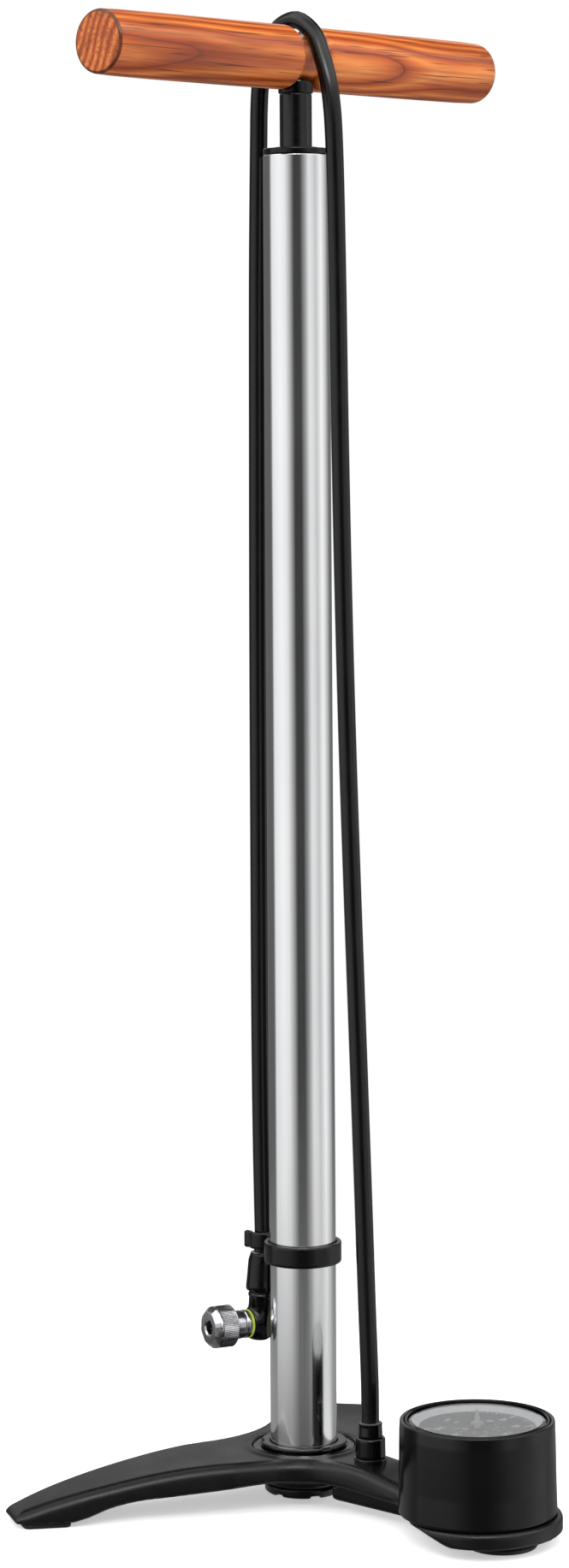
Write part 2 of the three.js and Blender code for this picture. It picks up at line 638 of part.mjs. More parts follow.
// The clip is one moulding: a band round the barrel and a snap ring, open at the back, round the hose.
// Two lips at the ring's mouth guide the hose in.
function hoseClip() {
  const low = CLIP_Z - CLIP_H / 2;
  const high = CLIP_Z + CLIP_H / 2;
  const bandInner = BARREL_R + GAP;
  const hoseHole = HOSE_R + 0.45;
  const band = disc(bandInner + CLIP_WALL, low, high);
  const snap = disc(hoseHole + 2, low, high, SMALL_ROUND).translate(0, CLIP_HOSE_Y, 0);
  const neck = block(0, 19.5, CLIP_Z, 7, 6, CLIP_H);
  const lips = [-1, 1].map((side) => block(side * 4.5, CLIP_HOSE_Y + 6.1, CLIP_Z, 2.6, 3, CLIP_H));
  const barrel = disc(bandInner, low - OVERCUT, high + OVERCUT);
  const hose = disc(hoseHole, low - OVERCUT, high + OVERCUT, SMALL_ROUND).translate(0, CLIP_HOSE_Y, 0);
  const mouth = block(0, CLIP_HOSE_Y + 6, CLIP_Z, 6.4, 8, CLIP_H + 2 * OVERCUT);
  return piece('hose_clip', carve([band, snap, neck, ...lips], [barrel, hose, mouth]), BLACK_RUBBER);
}

// The hanging hose's end leans, so the head's pieces sit in a group turned with it.
const FERRULE_LOW = 16;
const FERRULE_HIGH = 33.9;

const headFerrule = () => {
  const outline = [[0, FERRULE_LOW], [7.4, FERRULE_LOW], [7.4, 18.5], [6.2, FERRULE_HIGH], [0, FERRULE_HIGH]];
  return piece('head_ferrule', turned(outline, SMALL_ROUND), BLACK_PLASTIC);
};

// Lays a piece that is turned round Z along the chuck's direction.
const alongChuck = (geometry) => geometry.rotateY(Math.PI / 2).rotateZ(radians(CHUCK_ANGLE));

function headElbow() {
  const top = FERRULE_LOW - GAP;
  const upright = turned([[0, -8], [4.2, -8], [5.8, -6.4], [5.8, top], [0, top]], SMALL_ROUND);
  const branch = alongChuck(disc(CHUCK_R, 0, 5.8, SMALL_ROUND));
  return piece('head_elbow', carve([upright, branch]), BLACK_PLASTIC);
}

const chuckRing = () =>
  piece('chuck_ring', alongChuck(disc(CHUCK_R, 5.8 + GAP, 7.5, SMALL_ROUND)), LIME_RING);

// The sleeve is the chuck's body: a spigot that the collar slides on, with the gasket's seat in its end.
function chuckSleeve() {
  const start = 7.5 + GAP;
  const outline = [
    [0, start], [CHUCK_R, start], [CHUCK_R, 23.9], [CHUCK_R - 0.6, 24.5], [4.4, 24.5], [4.4, 21.7], [0, 21.7],
  ];
  return piece('chuck_sleeve', alongChuck(turned(outline, SMALL_ROUND)), BRIGHT_METAL);
}

const chuckGasket = () =>
  piece('chuck_gasket', alongChuck(ring(2.2, 4.1, 21.7 + GAP, 24.3, SMALL_ROUND)), BLACK_RUBBER);

// The grip collar has a chamfered front with six flats.
function chuckCollar() {
  const front = COLLAR_START + COLLAR_LENGTH;
  const body = turned([
    [CHUCK_R + GAP, COLLAR_START], [COLLAR_R - 0.8, COLLAR_START], [COLLAR_R, COLLAR_START + 0.8],
    [COLLAR_R, front - 3], [COLLAR_R - 0.4, front - 2.6], [6.6, front], [4.2, front], [4.2, front - 3.6],
    [CHUCK_R + GAP, front - 3.6],
  ], 24);
  const flats = [...Array(6).keys()].map((i) =>
    block(COLLAR_R + 1.2, 0, front - 0.8, 4, 8, 3).rotateZ(radians(60 * i)));
  return piece('chuck_collar', alongChuck(carve([body], flats)), BRIGHT_METAL);
}

function pumpHead() {
  const head = new THREE.Group();
  head.position.copy(HEAD);
  head.rotation.x = radians(HEAD_LEAN);
  head.add(headFerrule(), headElbow(), chuckRing(), chuckSleeve(), chuckGasket(), chuckCollar());
  return head;
}

// ---------------------------------------------------------------- hose

// The hose lies in the plane X = 0: up from its socket, over the handle's notch and down to the head.
const ARCH_FOOT_Z = 650;
const FRONT_RUN = [
  [SOCKET_Y, HOSE_FOOT_Z], [-41.9, 60], [-40.3, 100], [-38.5, 148], [-35.7, 220], [-32.8, 292],
  [-30.2, 364], [-28.2, 437], [-26.8, 509], [-25.8, 582], [-24.8, 630], [-24, ARCH_FOOT_Z - GAP],
];
const ARCH = [
  [-24, ARCH_FOOT_Z], [-23.2, 660], [-21.4, 671.5], [-18.8, 680.5], [-16, 687.8], [-13.1, 694.5],
  [-8, 699.8], [-1.2, 703.5], [6, 702.6], [12, 699.2], [17, 693.3], [20.6, 685], [22.7, 674.5], [23.7, 662],
  [24, ARCH_FOOT_Z],
];
const BACK_RUN = [
  [24, ARCH_FOOT_Z - GAP], [24.4, 632], [25.3, 583], [25.9, 509], [26.5, 411], [26.7, 312], [26.7, 213],
  [26.2, 164], [25.5, 130], [CLIP_HOSE_Y, 120], [25.75, 113.3],
];

function hoseLength(name, route, steps) {
  const points = route.map(([y, z]) => new THREE.Vector3(0, y, z));
  return piece(name, tubeAlong(points, HOSE_R, 8, steps), BLACK_RUBBER);
}

const CORD_NAMES = /^(hose_(front|back)_run|hose_arch|head_|chuck_)/;

// ---------------------------------------------------------------- assembly

const pump = new THREE.Group();
pump.add(barrelTube(), topCap(), capBush(), rodWiper());
pump.add(plungerRod(), pistonHead(), pistonScrew(), topOutBumper(), rodPlug(), handleFerrule());
pump.add(pistonRing('piston_seal', 2, 6, BLACK_RUBBER));
pump.add(pistonRing('piston_guide_ring', 9, 15, BLACK_PLASTIC));
pump.add(handleBar(), handleWasher(), handleBolt());
pump.add(baseCasting(), barrelSeatRing(), barrelLockRing(), barrelGasket());
pump.add(legPad('foot_pad_left', LEG_ANGLES.left), legPad('foot_pad_rear', LEG_ANGLES.rear));
pump.add(gaugePad());
pump.add(hubPlug(), checkValveSeat(), checkValvePoppet(), checkValveSpring());
pump.add(airPassageCover());
pump.add(passageScrew('passage_screw_inner', -32), passageScrew('passage_screw_outer', -64));
pump.add(gaugeHousing(), lensGasket(), gaugeBezel(), gaugeLens());
pump.add(gaugeDial(), movementPlate(), gaugeStem());
pump.add(dialScrew('dial_screw_left', -DIAL_SCREW_X), dialScrew('dial_screw_right', DIAL_SCREW_X));
pump.add(bourdonTube(), sectorGear(), needlePinion(), gaugeNeedle());
pump.add(hoseSocket(), hoseSocketNut(), hoseBoot(), hoseClip(), pumpHead());
pump.add(hoseLength('hose_front_run', FRONT_RUN, 26), hoseLength('hose_arch', ARCH, 22));
pump.add(hoseLength('hose_back_run', BACK_RUN, 24));

// Stand the object with its box's bottom centre at the origin, measured without the hose and the head.
const box = new THREE.Box3();
pump.updateMatrixWorld(true);
pump.traverse((mesh) => {
  if (mesh.isMesh && !CORD_NAMES.test(mesh.name)) box.expandByObject(mesh, true);
});
pump.position.set(-(box.min.x + box.max.x) / 2, -(box.min.y + box.max.y) / 2, -box.min.z);

export default pump;
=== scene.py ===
"""The looks of the floor pump: fine meshes, procedural materials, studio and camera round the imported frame.

Shapes are written in millimetres in the pump frame, whose origin lies on the floor under the barrel's
axis. The gauge's and the head's pieces are written in frames of their own.
"""
import json
from math import cos, hypot, pi, radians, sin, sqrt

import bmesh
import bpy
import numpy as np
from mathutils import Matrix, Vector


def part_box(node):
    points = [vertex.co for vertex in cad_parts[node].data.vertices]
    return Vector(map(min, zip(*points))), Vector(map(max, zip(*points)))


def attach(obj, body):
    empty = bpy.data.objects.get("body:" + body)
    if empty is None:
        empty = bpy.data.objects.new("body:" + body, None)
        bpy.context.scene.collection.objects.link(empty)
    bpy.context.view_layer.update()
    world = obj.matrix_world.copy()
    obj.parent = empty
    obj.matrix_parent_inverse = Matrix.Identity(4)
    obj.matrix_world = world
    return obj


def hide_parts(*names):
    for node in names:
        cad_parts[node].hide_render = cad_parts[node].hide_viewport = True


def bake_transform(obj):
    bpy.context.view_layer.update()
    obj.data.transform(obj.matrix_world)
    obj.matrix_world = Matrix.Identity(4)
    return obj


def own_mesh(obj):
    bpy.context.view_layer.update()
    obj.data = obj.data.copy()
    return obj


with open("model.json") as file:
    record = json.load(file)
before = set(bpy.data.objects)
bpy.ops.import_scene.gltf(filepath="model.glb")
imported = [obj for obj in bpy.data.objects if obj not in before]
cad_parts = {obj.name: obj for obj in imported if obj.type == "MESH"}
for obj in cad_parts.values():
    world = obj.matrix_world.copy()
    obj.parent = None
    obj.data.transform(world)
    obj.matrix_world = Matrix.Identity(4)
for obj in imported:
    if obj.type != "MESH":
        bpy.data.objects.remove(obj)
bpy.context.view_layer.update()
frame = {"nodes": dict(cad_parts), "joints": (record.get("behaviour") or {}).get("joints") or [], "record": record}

# ---------------------------------------------------------------- frame

MM = 0.001
SLOT_OF = {part["node"]: part["material_slot"] for part in frame["record"]["subparts"]}
# Pieces that look in the photo like another finish than the record's
SLOT_OF.update(
    barrel_seat_ring="black_anodised", handle_ferrule="black_plastic", gauge_bezel="black_plastic",
    hose_boot="black_plastic", hose_clip="black_plastic",
)
BODY_OF = {node: body for body, nodes in frame["record"]["behaviour"]["bodies"].items() for node in nodes}
JOINTS = {joint["name"]: joint for joint in frame["joints"]}
AXIS_Y = sum(corner.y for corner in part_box("barrel_tube")) / 2
PUMP = Matrix.Translation((0, AXIS_Y, 0)) @ Matrix.Scale(MM, 4)
STILL = Matrix.Identity(4)
QUARTER = Matrix.Rotation(radians(90), 4, "Y")


def link(item):
    bpy.context.scene.collection.objects.link(item)


def span(node):
    """A CAD node's lowest and highest corner, in millimetres in the pump frame."""
    return [PUMP.inverted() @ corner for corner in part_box(node)]


def reach(node):
    """Half of a CAD node's width along X."""
    low, high = span(node)
    return (high.x - low.x) / 2


def heights(node):
    return [corner.z for corner in span(node)]


def middle(node):
    low, high = span(node)
    return (low + high) / 2


BARREL_R = reach("barrel_tube")
BARREL_FOOT, BARREL_TOP = heights("barrel_tube")
SLIP_R = BARREL_R + 0.3  # inside of what goes round the barrel
ROD_R = reach("plunger_rod")
HANDLE_HALF = reach("handle_bar")
HANDLE_R = (span("handle_bar")[1].y - span("handle_bar")[0].y) / 2
HANDLE_Z = middle("handle_bar").z
GAUGE_Y = middle("gauge_housing").y
GAUGE = Matrix.Translation((0, GAUGE_Y, 0))
GAUGE_R = reach("gauge_housing")
GAUGE_FOOT, GAUGE_TOP = heights("gauge_housing")
LENS_R = reach("gauge_lens")
SOCKET_Y = middle("hose_socket").y
SOCKET = Matrix.Translation((0, SOCKET_Y, 0))
HOSE_R = reach("hose_arch")
HUB_TOP = 25

# ---------------------------------------------------------------- camera

CAMERA_LENS = 90.27  # for a sensor whose long side is 36 mm
CAMERA_DISTANCE = 1.873
CAMERA_HEIGHT = 0.5268
CAMERA_SIDE = -0.00615
CAMERA_TURN = radians(47.78)  # from the gauge leg's direction, towards the left leg
CAMERA_ROLL = radians(0.35)
CAMERA_SHIFT = -0.2506
TO_CAMERA = Vector((-sin(CAMERA_TURN), -cos(CAMERA_TURN), 0))


def add_camera():
    """A level camera, whose shift frames the pump and keeps its uprights parallel."""
    camera = bpy.data.objects.new("camera", bpy.data.cameras.new("camera"))
    link(camera)
    camera.data.lens = CAMERA_LENS
    camera.data.sensor_width = 36
    camera.data.shift_y = CAMERA_SHIFT
    camera.data.clip_end = 50
    right = Vector((-TO_CAMERA.y, TO_CAMERA.x, 0))
    camera.location = TO_CAMERA * CAMERA_DISTANCE + right * CAMERA_SIDE + Vector((0, AXIS_Y, CAMERA_HEIGHT))
    turn = (-TO_CAMERA).to_track_quat("-Z", "Y").to_matrix()
    camera.rotation_euler = (turn @ Matrix.Rotation(-CAMERA_ROLL, 3, "Z")).to_euler()
    bpy.context.scene.camera = camera


add_camera()

# ---------------------------------------------------------------- materials


class NodeTree:
    """Builds the node tree of a material or a world from nothing."""

    def __init__(self, owner):
        owner.use_nodes = True
        self.nodes = owner.node_tree.nodes
        self.links = owner.node_tree.links
        self.nodes.clear()

    def feed(self, socket, value):
        """Links another node's output to a socket, or sets the socket to a value."""
        if isinstance(value, bpy.types.NodeSocket):
            self.links.new(value, socket)
        else:
            socket.default_value = (*value, 1) if socket.type == "RGBA" else value

    def fill(self, node, inputs):
        """Feeds a node's inputs, given by name or number, and returns the node."""
        for socket, value in inputs.items():
            self.feed(node.inputs[socket], value)
        return node

    def node(self, kind, inputs=None):
        return self.fill(self.nodes.new("ShaderNode" + kind), inputs or {})

    def maths(self, operation, *values):
        node = self.node("Math")
        node.operation = operation
        return self.fill(node, dict(enumerate(values))).outputs[0]

    def hypot(self, a, b):
        return self.maths("SQRT", self.maths("ADD", self.maths("POWER", a, 2), self.maths("POWER", b, 2)))

    def split(self, vector):
        return self.node("SeparateXYZ", {0: vector}).outputs

    def ramp(self, factor, *stops):
        """A colour ramp; each stop is (position, grey) or (position, (red, green, blue))."""
        node = self.node("ValToRGB", {"Fac": factor})
        elements = node.color_ramp.elements
        while len(elements) < len(stops):
            elements.new(1)
        for element, (position, colour) in zip(elements, stops):
            element.position = position
            rgb = colour if isinstance(colour, tuple) else (colour,) * 3
            element.color = (*rgb, 1)
        return node.outputs["Color"]

    def mix(self, factor, first, second):
        node = self.node("Mix")
        node.data_type = "RGBA"
        return self.fill(node, {"Factor": factor, 6: first, 7: second}).outputs[2]


class Finish(NodeTree):
    """A Principled material fed by patterns in the piece's own coordinates, which are metres."""

    def __init__(self, name, **sockets):
        self.name = name
        self.material = bpy.data.materials.new(name)
        super().__init__(self.material)
        self.shader = self.node("BsdfPrincipled")
        self.node("OutputMaterial", {"Surface": self.shader.outputs[0]})
        self.place = self.node("TexCoord").outputs["Object"]
        self.relief = {}
        self.drive(**sockets)

    def drive(self, **sockets):
        """Feeds the shader's sockets, whose names are written with _ for a space."""
        self.fill(self.shader, {socket.replace("_", " "): value for socket, value in sockets.items()})

    def vary(self, pattern, dark, light, smooth, rough):
        """A colour and a roughness that follow one pattern."""
        self.drive(Base_Color=self.ramp(pattern, (0.3, dark), (0.7, light)))
        self.drive(Roughness=self.ramp(pattern, (0.3, smooth), (0.7, rough)))

    def noise(self, scale, stretch=(1, 1, 1), detail=3.0):
        """Noise with `scale` features in a metre, times `stretch` along each axis."""
        place = self.node("Mapping", {"Vector": self.place, "Scale": stretch}).outputs[0]
        return self.node("TexNoise", {"Vector": place, "Scale": scale, "Detail": detail}).outputs["Fac"]

    def edges(self):
        """White on the edges that stand proud, where a finish wears first."""
        return self.ramp(self.node("NewGeometry").outputs["Pointiness"], (0.52, 0.0), (0.6, 1.0))

    def bump(self, height, depth):
        """Relief of `depth` millimetres, on top of the relief before it."""
        node = self.node("Bump", {"Distance": depth * MM, "Height": height, **self.relief})
        self.relief = {"Normal": node.outputs[0]}
        self.drive(**self.relief)


def polished_barrel():
    """Steel polished lengthwise, with fine lines along the tube."""
    finish = Finish("polished_barrel", Metallic=1.0)
    lines = finish.noise(1500, (1, 1, 0.012), 2)
    cloud = finish.noise(22, (1, 1, 0.3), 3)
    finish.drive(Base_Color=finish.ramp(cloud, (0.3, (0.72, 0.725, 0.735)), (0.7, (0.8, 0.803, 0.81))))
    finish.drive(Roughness=finish.ramp(finish.mix(0.5, lines, cloud), (0.3, 0.1), (0.7, 0.17)))
    finish.bump(lines, 0.0035)
    return finish


def bright_metal():
    finish = Finish("bright_metal", Metallic=1.0)
    scratches = finish.noise(900, (1, 1, 0.25), 4)
    finish.vary(scratches, (0.42, 0.42, 0.435), (0.52, 0.52, 0.535), 0.15, 0.24)
    finish.bump(scratches, 0.002)
    return finish


def brass():
    finish = Finish("brass", Metallic=1.0)
    tarnish = finish.noise(160, detail=5)
    finish.vary(tarnish, (0.42, 0.27, 0.1), (0.62, 0.44, 0.18), 0.42, 0.25)
    finish.bump(finish.noise(2200), 0.006)
    return finish


def coated(name, dark, light, worn, gloss, smooth, rough, grain, depth):
    """A dark moulded or painted surface: cloudy colour, fine grain, and paler where edges rub."""
    finish = Finish(name, Specular_IOR_Level=gloss)
    cloud = finish.noise(45, detail=4)
    body = finish.ramp(cloud, (0.3, dark), (0.7, light))
    finish.drive(Base_Color=finish.mix(finish.edges(), body, worn))
    fine = finish.noise(grain, detail=3)
    finish.drive(Roughness=finish.ramp(finish.mix(0.5, cloud, fine), (0.35, smooth), (0.65, rough)))
    finish.bump(fine, depth)
    return finish


def black_paint():
    return coated(
        "black_paint", (0.0025, 0.0025, 0.0026), (0.0045, 0.0045, 0.0047), (0.014, 0.014, 0.015),
        gloss=0.3, smooth=0.24, rough=0.36, grain=1900, depth=0.01,
    )


def black_plastic():
    return coated(
        "black_plastic", (0.0012, 0.0012, 0.0013), (0.0022, 0.0022, 0.0023), (0.009, 0.009, 0.0095),
        gloss=0.3, smooth=0.12, rough=0.19, grain=2600, depth=0.006,
    )


def black_rubber():
    return coated(
        "black_rubber", (0.006, 0.006, 0.0062), (0.009, 0.009, 0.0092), (0.016, 0.016, 0.016),
        gloss=0.35, smooth=0.5, rough=0.66, grain=1500, depth=0.02,
    )


def hose_rubber():
    return coated(
        "hose_rubber", (0.0015, 0.0015, 0.0016), (0.003, 0.003, 0.0031), (0.008, 0.008, 0.008),
        gloss=0.34, smooth=0.17, rough=0.26, grain=1300, depth=0.008,
    )


def black_anodised():
    """Glossy black anodising with turning lines round the part."""
    finish = Finish("black_anodised", Specular_IOR_Level=0.4)
    lines = finish.noise(1800, (0.05, 0.05, 1), 2)
    finish.vary(lines, (0.0018, 0.0018, 0.0019), (0.0036, 0.0036, 0.0038), 0.13, 0.22)
    finish.bump(lines, 0.0008)
    return finish


WOOD_RING = 0.0046  # spacing of the year rings
WOOD_DARK = (0.13, 0.022, 0.005)
WOOD_RED = (0.4, 0.064, 0.009)
WOOD_WARM = (0.66, 0.145, 0.022)
WOOD_PALE = (0.84, 0.27, 0.06)


def varnished_wood():
    """Ring-porous wood whose rings cross the bar, under a gloss varnish, with a darker colour on the rims round
    its ends.
    """
    finish = Finish("varnished_wood", Specular_IOR_Level=0.2, Coat_Weight=0.4, Coat_Roughness=0.12)
    x, y, z = finish.split(finish.place)
    sway = finish.noise(13, (0.3, 1, 1), 2)
    across = finish.maths("MULTIPLY_ADD", y, 0.9 / WOOD_RING, finish.maths("MULTIPLY", z, 0.42 / WOOD_RING))
    rings = finish.maths("FRACT", finish.maths("MULTIPLY_ADD", sway, 6.5, across))
    wood = finish.ramp(
        rings, (0, WOOD_DARK), (0.06, WOOD_RED), (0.3, WOOD_WARM), (0.5, WOOD_PALE), (0.75, WOOD_WARM),
        (1, WOOD_RED),
    )
    band = finish.noise(60, (0.13, 1, 1), 3)
    wood = finish.mix(finish.ramp(band, (0.46, 0.0), (0.68, 0.75)), wood, (0.24, 0.038, 0.006))
    fibre = finish.noise(520, (0.03, 1, 1), 4)
    wood = finish.mix(finish.ramp(fibre, (0.34, 0.42), (0.55, 0.0)), wood, WOOD_DARK)
    pores = finish.ramp(finish.noise(1100, (0.022, 1, 1), 1), (0.3, 0.8), (0.37, 0.0))
    wood = finish.mix(pores, wood, (0.08, 0.016, 0.006))
    # The rims round the bar's ends get a darker colour
    up = finish.maths("SUBTRACT", z, HANDLE_Z * MM)
    side = finish.maths("SUBTRACT", y, AXIS_Y)
    rim = finish.maths("GREATER_THAN", finish.hypot(up, side), (HANDLE_R - 1.9) * MM)
    end = finish.maths("GREATER_THAN", finish.maths("ABSOLUTE", x), (HANDLE_HALF - 1.1) * MM)
    dark_end_rim = finish.maths("MULTIPLY", finish.maths("MULTIPLY", rim, end), 0.75)
    finish.drive(Base_Color=finish.mix(dark_end_rim, wood, (0.035, 0.01, 0.005)))
    finish.drive(Roughness=finish.ramp(fibre, (0.35, 0.5), (0.65, 0.34)))
    finish.bump(fibre, 0.02)
    finish.bump(finish.noise(120, (0.1, 1, 1)), 0.04)
    return finish


def lime_plastic():
    finish = Finish("lime_plastic")
    finish.vary(finish.noise(300), (0.38, 0.5, 0.03), (0.47, 0.6, 0.05), 0.32, 0.44)
    finish.bump(finish.noise(2500), 0.008)
    return finish


def gauge_glass():
    """A clear acrylic lens with faint wiping marks."""
    finish = Finish("gauge_glass", Base_Color=(0.9, 0.91, 0.92), Transmission_Weight=1.0, IOR=1.4)
    wiped = finish.noise(60, (1, 0.2, 1), 5)
    finish.drive(Roughness=finish.ramp(wiped, (0.45, 0.015), (0.8, 0.07)))
    return finish


def printed(name, dark, light):
    finish = Finish(name)
    cloud = finish.noise(500, detail=4)
    finish.vary(cloud, dark, light, 0.5, 0.62)
    finish.bump(cloud, 0.004)
    return finish


def needle_paint():
    finish = Finish("needle_paint")
    cloud = finish.noise(700)
    finish.vary(cloud, (0.24, 0.24, 0.23), (0.3, 0.3, 0.29), 0.35, 0.5)
    finish.bump(cloud, 0.004)
    return finish


FINISHES = {
    finish.name: finish.material
    for finish in (
        polished_barrel(), bright_metal(), brass(), black_paint(), black_anodised(), black_plastic(),
        black_rubber(), hose_rubber(), varnished_wood(), lime_plastic(), gauge_glass(), needle_paint(),
        printed("dial_face", (0.05, 0.051, 0.053), (0.065, 0.066, 0.068)),
    )
}
DIAL_RIM = printed("dial_rim", (0.54, 0.55, 0.56), (0.62, 0.63, 0.64)).material
DIAL_PRINT = printed("dial_print", (0.74, 0.74, 0.73), (0.84, 0.84, 0.83)).material

# ---------------------------------------------------------------- shapes


def rounded(outline, radius, steps=3, held=True):
    """The outline with its corners rounded, apart from those on the axis.

    Long sides get a point close to each corner if `held`, which keeps their smooth shading straight.
    """
    is_ring = outline[0][0] > 0
    result = []
    for i, corner in enumerate(outline):
        if not is_ring and i in (0, len(outline) - 1):
            result.append(tuple(corner))
            continue
        here = Vector(corner)
        arms = [Vector(outline[i - 1]) - here, Vector(outline[(i + 1) % len(outline)]) - here]
        cut = min(radius, *(0.45 * arm.length for arm in arms))
        start, end = [here + arm.normalized() * cut for arm in arms]
        before, after = [
            [tuple(here + arm.normalized() * (cut + 0.5))] if held and arm.length > 4 else [] for arm in arms
        ]
        result.extend(before)
        for k in range(steps + 1):
            t = k / steps
            result.append(tuple((1 - t) ** 2 * start + 2 * t * (1 - t) * here + t * t * end))
        result.extend(after)
    return result


def lathe(outline, sides=96, shape=None):
    """Turns (radius, height) points round Z: a ring, or a full body if the outline starts on the axis.

    shape(radius, height, angle) may give another radius, for flats and knurls.
    """
    shape = shape or (lambda radius, height, angle: radius)
    vertices, rows = [], []
    for radius, height in outline:
        if radius == 0:
            rows.append([len(vertices)] * sides)
            vertices.append((0, 0, height))
            continue
        rows.append(list(range(len(vertices), len(vertices) + sides)))
        for i in range(sides):
            angle = 2 * pi * i / sides
            r = shape(radius, height, angle)
            vertices.append((r * cos(angle), r * sin(angle), height))
    pairs = list(zip(rows, rows[1:]))
    if outline[0][0] > 0:
        pairs.append((rows[-1], rows[0]))
    faces = []
    for low, high in pairs:
        for i in range(sides):
            j = (i + 1) % sides
            face = list(dict.fromkeys([low[i], low[j], high[j], high[i]]))
            if len(face) > 2:
                faces.append(face)
    return vertices, faces


def tube(route, radius, sides):
    """A round tube along a route that lies in the plane X = 0, given as [Y, Z] points."""
    route = np.array(route)
    along = np.gradient(route, axis=0)
    along /= np.linalg.norm(along, axis=1)[:, None]
    vertices = []
    for (y, z), (dy, dz) in zip(route, along):
        for i in range(sides):
            angle = 2 * pi * i / sides
            out = radius * sin(angle)
            vertices.append((radius * cos(angle), y + out * dz, z - out * dy))
    return vertices, skin(len(route), sides)


def coil(radius, wire, low, high, turns, sides=12):
    """A coil spring round Z, its wire between two heights."""
    count = turns * 32
    vertices = []
    for k in range(count + 1):
        turn = 2 * pi * turns * k / count
        z = low + wire + (high - low - 2 * wire) * k / count
        for i in range(sides):
            angle = -2 * pi * i / sides
            r = radius + wire * cos(angle)
            vertices.append((r * cos(turn), r * sin(turn), z + wire * sin(angle)))
    return vertices, skin(count + 1, sides)


def skin(rings, sides):
    """The faces of a capped tube made of rings of vertices."""
    faces = [list(range(sides)), [rings * sides - 1 - i for i in range(sides)]]
    for row in range(rings - 1):
        for i in range(sides):
            j = (i + 1) % sides
            a, b = row * sides, (row + 1) * sides
            faces.append([a + i, a + j, b + j, b + i])
    return faces


def meet(a, b, k):
    """What two solids share, as a distance, with the edge between them rounded over k."""
    return np.maximum(a, b) + np.maximum(k - np.abs(a - b), 0) ** 2 / (4 * k)


def join(a, b, k):
    """Two solids together."""
    return -meet(-a, -b, k)


def slab(value, low, high, k=0.6):
    """Distance into the layer between two values."""
    return meet(low - value, value - high, k)


def plan_distance(outline, x, y):
    """Signed distance to a closed plan outline, negative inside."""
    squared, inside = np.inf, False
    for (ax, ay), (bx, by) in zip(outline, outline[1:] + outline[:1]):
        ex, ey = bx - ax, by - ay
        share = np.clip(((x - ax) * ex + (y - ay) * ey) / (ex * ex + ey * ey), 0, 1)
        squared = np.minimum(squared, (x - ax - share * ex) ** 2 + (y - ay - share * ey) ** 2)
        crosses = (ay > y) != (by > y)
        inside = inside ^ (crosses & (x < ex * (y - ay) / (ey or 1e-9) + ax))
    return np.where(inside, -1, 1) * np.sqrt(squared)


def surface_net(field, low, high, step):
    """The surface where field(x, y, z) is zero, as vertices and faces. Inside, the field is negative."""
    axes = [np.arange(a, b + step, step) for a, b in zip(low, high)]
    shape = [len(a) for a in axes]
    value = np.broadcast_to(field(*np.meshgrid(*axes, indexing="ij", sparse=True)), shape)
    total = np.zeros((np.prod(shape), 4))
    quads = []
    for axis in range(3):
        a = np.take(value, range(shape[axis] - 1), axis)
        b = np.take(value, range(1, shape[axis]), axis)
        corner = np.argwhere((a < 0) != (b < 0))
        first, second = a[tuple(corner.T)], b[tuple(corner.T)]
        point = corner.astype(float)
        point[:, axis] += first / (first - second)
        cells = []
        for du, dv in ((0, 0), (-1, 0), (-1, -1), (0, -1)):
            cell = corner.copy()
            cell[:, (axis + 1) % 3] += du
            cell[:, (axis + 2) % 3] += dv
            cells.append(np.ravel_multi_index(tuple(cell.T), shape))
        for cell in cells:
            np.add.at(total, cell, np.column_stack([point, np.ones(len(point))]))
        quad = np.column_stack(cells)
        quad[first >= 0] = quad[first >= 0][:, ::-1]
        quads.append(quad)
    used = np.flatnonzero(total[:, 3])
    points = total[used, :3] / total[used, 3:] * step + np.array(low)
    number = np.zeros(len(total), int)
    number[used] = range(len(used))
    return settle(field, points, step), number[np.vstack(quads)].tolist()


def settle(field, points, step):
    """Moves a net's points onto the surface itself."""
    probe = step * 0.1
    for _ in range(3):
        slope = np.stack(
            [(field(*(points + e).T) - field(*(points - e).T)) / (2 * probe) for e in np.eye(3) * probe], 1
        )
        shift = slope * (field(*points.T) / np.maximum((slope**2).sum(1), 0.2))[:, None]
        points = points - np.clip(shift, -step / 2, step / 2)
    return points.tolist()


def mesh_of(name, shell, place=STILL):
    """A mesh in the row frame from a shell in millimetres."""
    vertices, faces = shell
    mesh = bpy.data.meshes.new(name)
    mesh.from_pydata(vertices, [], faces)
    mesh.transform(PUMP @ place)
    edit = bmesh.new()
    edit.from_mesh(mesh)
    bmesh.ops.recalc_face_normals(edit, faces=edit.faces)
    edit.to_mesh(mesh)
    edit.free()
    return mesh


def shade(mesh, crease):
    """Smooth shading, broken where faces meet at more than `crease` degrees."""
    mesh.polygons.foreach_set("use_smooth", [True] * len(mesh.polygons))
    mesh.set_sharp_from_angle(angle=radians(crease))


def show(name, shell, slot, nodes=(), place=STILL, crease=40):
    """Makes a piece in one of the finishes, from a shell or a mesh, that stands for the given CAD nodes."""
    mesh = shell if isinstance(shell, bpy.types.Mesh) else mesh_of(name, shell, place)
    shade(mesh, crease)
    mesh.materials.clear()
    mesh.materials.append(FINISHES[slot])
    piece = bpy.data.objects.new(name, mesh)
    link(piece)
    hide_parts(*nodes)
    return piece


def add(name, node, shell, place=STILL, crease=40):
    """Makes the piece that is seen in place of a CAD node, with the node's body and finish."""
    piece = show(name, shell, SLOT_OF[node], (node,), place, crease)
    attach(piece, BODY_OF[node])
    return piece


def add_turned(name, node, outline, radius, sides=96, place=STILL, crease=40):
    """A turned piece, from its outline and the radius of the outline's corners."""
    return add(name, node, lathe(rounded(outline, radius), sides), place, crease)


def add_net(name, node, field, low, high, step=0.5, place=STILL):
    """A piece in the shape of a distance field, which is searched between two corners."""
    return add(name, node, surface_net(field, low, high, step), place, 60)


